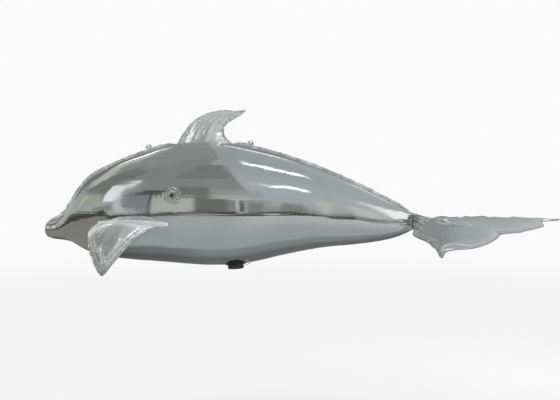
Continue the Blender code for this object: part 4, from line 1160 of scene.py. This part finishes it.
cap_top = [(CAP_R - 0.0016, 0.0212), (0.0330, 0.0214), (0.0320, 0.0206), (0.0306, 0.0206), (0.0296, 0.0216),
           (0.0200, 0.0218), (0.0120, 0.0219), (0.0112, 0.0212), (0.0100, 0.0212), (0.0092, 0.0220), (0.0, 0.0220)]
valve_piece("belly_valve_lid", [
    (0.0, 0.0175), (NECK_R + 0.0013, 0.0175), (NECK_R + 0.0013, 0.0062), (CAP_R, 0.0062),
    (CAP_R, 0.0090), (CAP_R, 0.0130), (CAP_R, 0.0165), (CAP_R, 0.0195), *cap_top],
    "belly_valve_cap", BLACK, body="valve_cap", shape=grip, seg=288, r=0.0005)


def strip(path, half_w, thick, frame_, nose=None):
    """A flat strip along a local x-z path, with rounded edges."""
    p = np.array(path, float)
    d = np.gradient(p, axis=0)
    d /= np.linalg.norm(d, axis=1, keepdims=True)
    nrm = np.stack([-d[:, 1], d[:, 0]], -1)
    ring = []
    for k in range(28):
        a = 2 * math.pi * k / 28
        c, s_ = math.cos(a), math.sin(a)
        ring.append((math.copysign(abs(c) ** 0.35, c), math.copysign(abs(s_) ** 0.8, s_)))
    ring = np.array(ring)
    n_s = len(p)
    t = np.linspace(0, 1, n_s)
    w = half_w(t) if callable(half_w) else np.full(n_s, half_w)
    th = thick(t) if callable(thick) else np.full(n_s, thick)
    x = p[:, None, 0] + nrm[:, None, 0] * ring[None, :, 1] * th[:, None] * 0.5
    z = p[:, None, 1] + nrm[:, None, 1] * ring[None, :, 1] * th[:, None] * 0.5
    y = ring[None, :, 0] * w[:, None] + 0 * x
    pts = placed(frame_, np.stack([x, y, z], -1)).reshape(-1, 3)
    m = 28
    faces = []
    for i in range(n_s - 1):
        for k in range(m):
            k2 = (k + 1) % m
            faces.append((i * m + k, i * m + k2, (i + 1) * m + k2, (i + 1) * m + k))
    faces.append(tuple(reversed(range(m))))
    faces.append(tuple(range((n_s - 1) * m, n_s * m)))
    return pts, faces


_knots = [(CAP_R - 0.0012, 0.0108), (CAP_R + 0.0030, 0.0104), (CAP_R + 0.0064, 0.0090), (CAP_HINGE_X, CAP_HINGE_Z - 0.0012),
          (CAP_HINGE_X + 0.006, 0.0073), (CAP_HINGE_X + 0.0124, 0.0041), (CAP_HINGE_X + 0.0170, 0.0018), (CAP_HINGE_X + 0.0262, 0.0010)]
_run = np.concatenate([[0], np.cumsum([math.dist(a, b) for a, b in zip(_knots, _knots[1:])])])
_t = np.linspace(0, _run[-1], 66)
_path = np.stack([rule(_run, [k[0] for k in _knots])(_t), rule(_run, [k[1] for k in _knots])(_t)], -1)
v, f = strip(_path, lambda t: 0.0080 - 0.0010 * np.exp(-((t - 0.30) / 0.06) ** 2) - 0.004 * step(0.86, 1.0, t) ** 2,
             lambda t: 0.0018 - 0.0010 * np.exp(-((t - 0.30) / 0.035) ** 2), VF)
strap = build("belly_valve_strap_web", v, f, CLEAR, 50)
_h = placed(VF, np.array([CAP_HINGE_X, 0.0, CAP_HINGE_Z]))
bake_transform(strap)
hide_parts("belly_valve_strap")

# flank valve: a clear patch welded round its rim, a soft stem and its plug
py = -float(film_y(PLUG_X, PLUG_Z))
PF = local_frame((PLUG_X, py, PLUG_Z), surface_normal(PLUG_X, py, PLUG_Z), (1, 0, 0))


def plug_piece(name, profile, node_name, mat, shape=None, lie=None, seg=96, r=0.0005):
    v, f = turned(soften(profile, r), seg, PF, shape, lie)
    ob = build(name, v, f, mat, 40)
    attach(ob, "envelope")
    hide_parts(node_name)
    return ob


def patch_shape(r, z, a):
    """Weld beads round the patch, and small wrinkles towards its middle."""
    up = z > 0.0012
    bead = 0.0006 * np.exp(-((r - 0.038) / 0.0012) ** 2) + 0.0005 * np.exp(-((r - 0.0245) / 0.0012) ** 2)
    rays = 0.0005 * np.cos(17 * a + 2 * np.sin(3 * a)) * np.exp(-((r - 0.0205) / 0.007) ** 2)
    rays = rays + 0.0004 * np.cos(11 * a + 3 * np.sin(2 * a) + 40 * r) * np.exp(-((r - 0.031) / 0.006) ** 2)
    return r, z + np.where(up, bead + rays, 0.0)


_rs = np.linspace(STEM_R + 0.0006, PATCH_R - 0.0004, 44)
plug_piece("flank_valve_disc", [(r_, 0.0006) for r_ in (STEM_R + 0.0006, 0.018, 0.030, PATCH_R)] + [(r_, 0.0017) for r_ in _rs[::-1]],
           "flank_valve_patch", CLEAR, shape=patch_shape, lie=lambda x, y, r: drop_to_film(PF, x, y), r=0.0002)
plug_piece("flank_valve_tube", [
    (STEM_BORE, -0.016), (STEM_R, -0.016), (STEM_R, -0.004), (STEM_R, 0.0030), (STEM_R, 0.0090), (STEM_R + 0.0012, 0.0100),
    (STEM_R + 0.0012, 0.0118), (STEM_R, 0.0126), (STEM_BORE, 0.0126)], "flank_valve_stem", CLEAR)


def cross_top(r, z, a):
    """A cross pressed into the head of the plug."""
    x, y = r * np.cos(a), r * np.sin(a)
    slot = np.maximum(np.exp(-(x / 0.0015) ** 4), np.exp(-(y / 0.0015) ** 4)) * (1 - step(0.0068, 0.0080, r))
    return r, z - np.where(z > 0.0145, 0.0016 * slot, 0.0)


# the plug's near-black tint is painted shade
plug_piece("flank_valve_stopper", [
    (0.0, 0.0010), (STEM_BORE - 0.0009, 0.0010), (STEM_BORE - 0.0004, 0.0040),
    (STEM_BORE - 0.0004, 0.0130), (0.0096, 0.0130), (0.0100, 0.0140), (0.0096, 0.0152),
    *[(q, 0.0156) for q in np.linspace(0.0088, 0.0006, 18)], (0.0, 0.0156)],
    "flank_valve_plug", PLUG_SHADE, shape=cross_top, r=0.0002)


# --------------------------------------------------------------------- tabs
def tab(name, x0):
    z0 = float(film_top(x0, 0.0) + flange_height(x0)) + 0.0008
    rise = float(film_top(x0 + 0.01, 0.0) + flange_height(x0 + 0.01)) - z0 + 0.0008
    lean = math.atan2(rise, 0.01)
    n_a, n_r = 120, 26
    a = 2 * math.pi * np.arange(n_a) / n_a
    cy = 0.55 * TAB_H
    # outline: flat foot on the seam, rounded above
    far = []
    for t in a:
        d = np.array([math.cos(t), math.sin(t)])
        lo, hi = 0.0, 0.04
        for _ in range(40):
            m = 0.5 * (lo + hi)
            p_, q_ = d[0] * m, cy + d[1] * m
            inside = q_ > 0 and (abs(p_) / (0.5 * TAB_LEN)) ** 3.3 + (max(q_, 0) / TAB_H) ** 3.3 < 1
            lo, hi = (m, hi) if inside else (lo, m)
        far.append(lo)
    far = np.array(far)
    s_ = np.linspace(0, 1, n_r + 1)
    rows_f, rows_b = [], []
    for k in range(n_r + 1):
        rr = TAB_HOLE + (far - TAB_HOLE) * s_[k]
        dist = rr - TAB_HOLE
        edge = np.minimum(dist, far - rr)
        t = TAB_HALF_T * 0.8 * np.sqrt(np.clip(edge / 0.0006, 0.06, 1)) + 0.0007 * np.exp(-((dist - 0.0014) / 0.0007) ** 2) + 0.0003 * np.exp(-((far - rr - 0.0018) / 0.0006) ** 2)
        p_, q_ = np.cos(a) * rr, cy + np.sin(a) * rr
        bend = 0.0012 * np.sin(q_ / TAB_H * 2.4)
        X = x0 + p_ * math.cos(lean) - q_ * math.sin(lean)
        Z = z0 + p_ * math.sin(lean) + q_ * math.cos(lean)
        rows_f.append(np.stack([X, bend - t, Z], -1))
        rows_b.append(np.stack([X, bend + t, Z], -1))
    rings = rows_f + rows_b[::-1]
    verts = np.concatenate(rings)
    faces = []
    m = len(rings)
    for i in range(m):
        for k in range(n_a):
            k2, i2 = (k + 1) % n_a, (i + 1) % m
            faces.append((i * n_a + k, i * n_a + k2, i2 * n_a + k2, i2 * n_a + k))
    ob = build(name.replace("hanging_tab", "tab_loop"), verts, faces, CLEAR, 60)
    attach(ob, "envelope")
    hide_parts(name)


for name, x0 in TABS:
    tab(name, x0)


# --------------------------------------------------------------- the studio
def plain(name, colour, rough=0.9):
    mat, nt, p = new_material(name)
    p.inputs["Base Color"].default_value = (*colour, 1)
    p.inputs["Roughness"].default_value = rough
    p.inputs["Specular IOR Level"].default_value = 0.1
    return mat


PALE = 0.955
FLOOR_Z = -1.55


def floor():
    """A pale floor that runs out softly into the pale room."""
    mat, nt, p = new_material("floor_pale")
    lk = nt.links.new
    p.inputs["Base Color"].default_value = (0.86, 0.86, 0.86, 1)
    p.inputs["Roughness"].default_value = 0.95
    p.inputs["Specular IOR Level"].default_value = 0.0
    co = node(nt, "ShaderNodeTexCoord")
    far = node(nt, "ShaderNodeVectorMath", operation="LENGTH")
    lk(co.outputs["Object"], far.inputs[0])
    fade = node(nt, "ShaderNodeMapRange", interpolation_type="SMOOTHSTEP")
    fade.inputs["From Min"].default_value = 2.5
    fade.inputs["From Max"].default_value = 11.0
    lk(far.outputs["Value"], fade.inputs["Value"])
    em = node(nt, "ShaderNodeEmission")
    em.inputs["Color"].default_value = (PALE, PALE, PALE, 1)
    mix = node(nt, "ShaderNodeMixShader")
    lk(fade.outputs["Result"], mix.inputs["Fac"])
    lk(p.outputs["BSDF"], mix.inputs[1])
    lk(em.outputs["Emission"], mix.inputs[2])
    lk(mix.outputs["Shader"], nt.nodes["Material Output"].inputs["Surface"])
    n = 96
    verts = [(0, 0, 0)] + [(60 * math.cos(2 * math.pi * k / n), 60 * math.sin(2 * math.pi * k / n), 0) for k in range(n)]
    faces = [(0, k + 1, (k + 1) % n + 1) for k in range(n)]
    mesh = bpy.data.meshes.new("floor")
    mesh.from_pydata(verts, [], faces)
    mesh.materials.append(mat)
    ob = bpy.data.objects.new("floor", mesh)
    bpy.context.scene.collection.objects.link(ob)
    ob.location = (0, 0, FLOOR_Z)
    ob.visible_glossy = False


# Soft panels of the room round the balloon, as the film mirrors them, in degrees:
# azimuth from and to (0 faces the left flank, + is towards the tail), elevation
# from and to, softness of the sides and of the ends, lean, brightness, warmth.
PANELS = [
    # ceiling over the left flank, darker towards the head; 99 ends at the slant
    (-78, 99, 22, 100, 10, 16, 0.0, 0.315, 0.00),
    (-32, 3, 46, 74, 2, 4, -0.05, 0.255, 0.00),
    (-8, 99, 26, 46, 2, 3, 0.0, 0.325, 0.00),
    (-2, 99, 20, 28, 5, 4, 0.0, 0.400, 0.01),
    (-26, -2, 11, 30, 5, 5, 0.0, 0.225, 0.01),
    # darker bays behind the head, a bright strip over them and blinds below
    (-164, -126, 13, 33, 8, 6, 0.0, 0.210, 0.03),
    (-152, -110, 33, 46, 10, 6, 0.0, 0.620, 0.00),
    (-108, -70, 31, 56, 6, 8, 0.0, 0.240, 0.02),
    (-110, -68, 9, 28, 8, 6, 0.0, 0.460, 0.05),
    (-96, -88, 12, 25, 3, 5, 0.0, 0.620, 0.05),
    (-114, -66, -7, 5, 8, 4, 0.0, 0.150, 0.05),
    # tall window beside the head, with a framed opening past it
    (-66, -44, 0, 12, 4, 5, 0.2, 0.330, 0.00),
    (-54, -34.5, 16, 42, 3, 7, 0.43, 1.080, -0.01),
    (-41.5, -36.8, -6, 21, 2, 5, 0.286, 0.680, -0.01),
    (-36.8, -25, -9, 25, 1.2, 3.0, 0.286, 0.300, -0.04),
    # wall along the left flank, with plain cupboards and doors
    (-30.5, -13, -17, 13, 2, 4, 0.0, 0.560, 0.02),
    (-31, -22, 8, 22, 2, 3, 0.0, 0.560, 0.02),
    (-33.2, -30.6, -12, 25, 1.2, 2.0, 0.06, 0.110, 0.00),
    (-38.5, -20, 21.5, 26, 2, 2.0, 0.15, 0.100, 0.00),
    (-12, 2, -15, 12, 1.0, 2.0, 0.0, 0.200, 0.03),
    (2, 12, -17, 10, 1.0, 2.0, 0.0, 0.300, 0.02),
    (13, 20, -6, 12, 2, 4, 0.0, 0.640, 0.00),
    (17, 21, -9, 9, 1.5, 3, 0.0, 0.110, 0.01),
    (23, 29, -17, 9, 3, 5, 0.0, 0.260, 0.02),
    (30, 37, -15, -4, 3, 4, 0.0, 0.330, 0.01),
    # bright end of the room past the tail
    (37, 52, -9, 20, 8, 8, 0.0, 0.660, 0.015),
    (58, 104, 8, 36, 18, 9, 0.0, 1.250, 0.00),
    (100, 150, -10, 30, 10, 10, 0.0, 0.650, 0.00),
    # cupboards behind
    (161, 186, -8, 36, 24, 9, 0.0, 0.275, -0.012),
    (-186, -158, -8, 32, 6, 9, 0.0, 0.330, 0.01),
]


def surroundings():
    """What the film mirrors: a soft grey room with a floor, walls and windows."""
    mat, nt, p = new_material("room_glow")
    lk = nt.links.new
    nt.nodes.remove(p)
    co = node(nt, "ShaderNodeTexCoord")
    unit = node(nt, "ShaderNodeVectorMath", operation="NORMALIZE")
    lk(co.outputs["Object"], unit.inputs[0])
    xyz = node(nt, "ShaderNodeSeparateXYZ")
    lk(unit.outputs["Vector"], xyz.inputs["Vector"])

    def calc(op, a, b=None, clamp=False):
        m = node(nt, "ShaderNodeMath", operation=op)
        m.use_clamp = clamp
        for k, s in enumerate((a, b)):
            if s is None:
                continue
            if isinstance(s, (int, float)):
                m.inputs[k].default_value = s
            else:
                lk(s, m.inputs[k])
        return m.outputs["Value"]

    def ease(value, a, b):
        m = node(nt, "ShaderNodeMapRange", interpolation_type="SMOOTHSTEP")
        m.inputs["From Min"].default_value = a
        m.inputs["From Max"].default_value = b
        lk(value, m.inputs["Value"])
        return m.outputs["Result"]

    def blend_colour(fac, a, b):
        m = node(nt, "ShaderNodeMix", data_type="RGBA")
        lk(fac, m.inputs["Factor"])
        for c, key in ((a, 6), (b, 7)):
            if isinstance(c, tuple):
                m.inputs[key].default_value = (*c, 1)
            else:
                lk(c, m.inputs[key])
        return m.outputs[2]

    x, y, z = xyz.outputs["X"], xyz.outputs["Y"], xyz.outputs["Z"]
    az = calc("MULTIPLY", calc("ARCTAN2", x, calc("MULTIPLY", y, -1.0)), 180.0 / math.pi)
    el = calc("MULTIPLY", calc("ARCSINE", z), 180.0 / math.pi)
    # walls and ceiling, cool above
    wall = blend_colour(ease(el, -16.0, 20.0), (0.47, 0.49, 0.475), (0.50, 0.545, 0.55))
    wall = blend_colour(ease(el, 30.0, 75.0), wall, (0.43, 0.475, 0.485))
    # a darker half of the ceiling towards the head, cut off along a slant
    toward = calc("MINIMUM", y, 0.0)
    near = calc("MULTIPLY", toward, calc("ADD", calc("MULTIPLY", toward, -1.143), -0.457))
    back = calc("MULTIPLY", calc("MAXIMUM", y, 0.0), 0.10)
    cut = calc("ADD", calc("MULTIPLY", x, 0.90), calc("ADD", near, back))
    dark = calc("MULTIPLY", ease(cut, 0.012, -0.012), ease(el, 14.0, 30.0))
    wall = blend_colour(dark, wall, (0.335, 0.365, 0.36))
    for a0, a1, e0, e1, sa, se, lean, glow, warm in PANELS:
        to_slant = a1 == 99
        a1 = 70 if to_slant else a1
        a = az if not lean else calc("ADD", az, calc("MULTIPLY", el, lean))
        m = calc("MULTIPLY", ease(a, a0 - 0.5 * sa, a0 + 0.5 * sa), ease(a, a1 + 0.5 * sa, a1 - 0.5 * sa))
        m = calc("MULTIPLY", m, ease(el, e0 - 0.5 * se, e0 + 0.5 * se))
        m = calc("MULTIPLY", m, ease(el, e1 + 0.5 * se, e1 - 0.5 * se))
        if to_slant:
            m = calc("MULTIPLY", m, ease(cut, 0.014, -0.014))
        wall = blend_colour(m, wall, (glow * (1 + warm), glow * (1 + 0.4 * warm + 0.02), glow * (1 - 2.2 * warm)))
    # floor: light before the left flank, darker below the belly and behind
    floor_c = blend_colour(ease(el, -72.0, -25.0), (0.43, 0.468, 0.465), (0.478, 0.518, 0.521))
    shine = calc("MULTIPLY", ease(el, -52.0, -20.0), ease(x, -0.1, 0.75))
    floor_c = blend_colour(shine, floor_c, (0.640, 0.665, 0.660))
    low = calc("MULTIPLY", ease(y, -0.10, 0.055), ease(el, -13.0, -26.0))
    head_side = ease(x, -0.08, -0.42)
    floor_c = blend_colour(low, floor_c, blend_colour(head_side, (0.285, 0.320, 0.320), (0.170, 0.178, 0.176)))
    deep = calc("MULTIPLY", ease(y, 0.16, 0.52), ease(el, -13.0, -26.0))
    floor_c = blend_colour(deep, floor_c, blend_colour(head_side, (0.170, 0.185, 0.184), (0.085, 0.088, 0.086)))
    under = calc("MULTIPLY", ease(x, -0.30, -0.62), ease(el, -75.0, -60.0))
    floor_c = blend_colour(under, floor_c, (0.300, 0.285, 0.265))
    far = calc("MULTIPLY", ease(y, 0.55, 0.95), ease(el, -30.0, -14.0))
    floor_c = blend_colour(far, floor_c, (0.30, 0.31, 0.305))
    tall = calc("MULTIPLY", ease(az, -42.0, -56.0), ease(az, -120.0, -100.0))
    level = calc("SUBTRACT", el, calc("MULTIPLY", tall, 10.0))
    colour = blend_colour(ease(level, -16.9, -15.6), floor_c, wall)
    # dark uneven line where floor and walls meet
    lump = node(nt, "ShaderNodeTexNoise", in_Scale=4.2, in_Detail=3.0)
    flat = node(nt, "ShaderNodeVectorMath", operation="MULTIPLY")
    flat.inputs[1].default_value = (1.0, 1.0, 0.0)
    lk(unit.outputs["Vector"], flat.inputs[0])
    lk(flat.outputs["Vector"], lump.inputs["Vector"])
    high = calc("ADD", calc("MULTIPLY", lump.outputs["Fac"], 13.0), calc("ADD", calc("MULTIPLY", tall, 12.0), -17.6))
    over = calc("SUBTRACT", high, el)
    band = calc("MULTIPLY", ease(level, -18.0, -16.8), ease(over, -0.8, 0.8))
    faint = calc("MULTIPLY", calc("MULTIPLY", ease(az, 33.0, 45.0), ease(az, 165.0, 140.0)), 0.74)
    band = calc("MULTIPLY", band, calc("SUBTRACT", 1.0, faint))
    colour = blend_colour(band, colour, (0.082, 0.077, 0.068))

    em = node(nt, "ShaderNodeEmission")
    lk(colour, em.inputs["Color"])
    lk(em.outputs["Emission"], nt.nodes["Material Output"].inputs["Surface"])
    bpy.ops.mesh.primitive_uv_sphere_add(segments=64, ring_count=32, radius=58)
    ob = bpy.context.object
    ob.name = "room_dome"
    ob.data.materials.append(mat)
    mat.cycles.emission_sampling = "NONE"
    for flag in ("visible_camera", "visible_diffuse", "visible_shadow", "visible_volume_scatter"):
        setattr(ob, flag, False)


def softbox(name, at, aim, size, strength, tint=(1, 1, 1), power=1.0, edge=0.5):
    """A glowing panel with soft edges that shows only in the film."""
    mat, nt, p = new_material(name)
    lk = nt.links.new
    nt.nodes.remove(p)
    co = node(nt, "ShaderNodeTexCoord")
    off = node(nt, "ShaderNodeVectorMath", operation="SUBTRACT")
    off.inputs[1].default_value = (0.5, 0.5, 0.0)
    lk(co.outputs["Generated"], off.inputs[0])
    xyz = node(nt, "ShaderNodeSeparateXYZ")
    lk(off.outputs["Vector"], xyz.inputs["Vector"])
    vals = []
    for axis in "XY":
        ab = node(nt, "ShaderNodeMath", operation="ABSOLUTE")
        lk(xyz.outputs[axis], ab.inputs[0])
        e = node(nt, "ShaderNodeMapRange", interpolation_type="SMOOTHSTEP")
        e.inputs["From Min"].default_value = 0.5
        e.inputs["From Max"].default_value = 0.5 - 0.5 * (edge if axis == "Y" else min(edge, edge * size[1] / size[0] * 3))
        lk(ab.outputs["Value"], e.inputs["Value"])
        vals.append(e.outputs["Result"])
    m = node(nt, "ShaderNodeMath", operation="MULTIPLY")
    lk(vals[0], m.inputs[0])
    lk(vals[1], m.inputs[1])
    em = node(nt, "ShaderNodeEmission")
    em.inputs["Color"].default_value = (*tint, 1)
    em.inputs["Strength"].default_value = strength
    tr = node(nt, "ShaderNodeBsdfTransparent")
    mix = node(nt, "ShaderNodeMixShader")
    lk(m.outputs["Value"], mix.inputs["Fac"])
    lk(tr.outputs["BSDF"], mix.inputs[1])
    lk(em.outputs["Emission"], mix.inputs[2])
    lk(mix.outputs["Shader"], nt.nodes["Material Output"].inputs["Surface"])
    mat.cycles.emission_sampling = "NONE"
    w, h = size
    mesh = bpy.data.meshes.new(name)
    mesh.from_pydata([(-w / 2, -h / 2, 0), (w / 2, -h / 2, 0), (w / 2, h / 2, 0), (-w / 2, h / 2, 0)], [], [(0, 1, 2, 3)])
    mesh.materials.append(mat)
    ob = bpy.data.objects.new(name, mesh)
    bpy.context.scene.collection.objects.link(ob)
    z = (Vector(at) - Vector(aim)).normalized()
    xdir = Vector((1, 0, 0)) if abs(z.x) < 0.9 else Vector((0, 1, 0))
    y = z.cross(xdir).normalized()
    xdir = y.cross(z)
    mtx = Matrix((xdir, y, z)).transposed().to_4x4()
    mtx.translation = Vector(at)
    ob.matrix_world = mtx
    for flag in ("visible_camera", "visible_diffuse", "visible_shadow", "visible_volume_scatter"):
        setattr(ob, flag, False)
    return ob


def area(name, at, aim, size, watts):
    data = bpy.data.lights.new(name, "AREA")
    data.shape = "RECTANGLE"
    data.size, data.size_y = size
    data.energy = watts
    ob = bpy.data.objects.new(name, data)
    bpy.context.scene.collection.objects.link(ob)
    ob.location = at
    ob.rotation_euler = (Vector(at) - Vector(aim)).to_track_quat("Z", "Y").to_euler()
    ob.visible_glossy = False
    ob.visible_camera = False
    return ob


floor()
surroundings()
# ceiling lamps over the film, as soft strips
softbox("lamp_a", (1.15, -0.22, 2.5), (1.15, -0.22, 0), (1.35, 0.36), 3.0, edge=0.9)
softbox("lamp_b", (2.05, -2.50, 2.4), (2.05, -2.50, 0), (1.15, 0.46), 3.0, edge=0.9)
softbox("lamp_c", (0.45, 2.45, 2.5), (0.45, 2.45, 0), (1.5, 0.30), 2.6, edge=0.9)
softbox("lamp_d", (-1.95, 2.70, 2.5), (-1.95, 2.70, 0), (1.7, 0.50), 2.8, edge=0.9)
softbox("lamp_e", (2.6, 2.6, 2.5), (2.6, 2.6, 0), (1.5, 0.30), 2.4, edge=0.9)

world = bpy.data.worlds.new("pale_room")
world.use_nodes = True
world.node_tree.nodes["Background"].inputs["Color"].default_value = (PALE, PALE, PALE, 1)
world.node_tree.nodes["Background"].inputs["Strength"].default_value = 1.0
bpy.context.scene.world = world
area("key", (-1.5, -3.5, 3.5), (0, 0, 0), (2.5, 1.6), 60)
area("fill", (3.0, 2.5, 3.0), (0, 0, 0), (2.0, 2.0), 30)

bpy.context.scene.view_settings.view_transform = "Standard"

# --------------------------------------------------------------- the camera
D = 3.55
EL = math.radians(3.0)
AIM = Vector((0.2, 0.0, 0.015))
cam_data = bpy.data.cameras.new("camera")
cam_data.sensor_width = 36.0
cam_data.lens = 36.0 * D / 2.8
cam_data.clip_end = 200.0
cam = bpy.data.objects.new("camera", cam_data)
bpy.context.scene.collection.objects.link(cam)
cam.location = AIM + Vector((0, -math.cos(EL), math.sin(EL))) * D
cam.rotation_euler = (AIM - cam.location).to_track_quat("-Z", "Y").to_euler()
bpy.context.scene.camera = cam
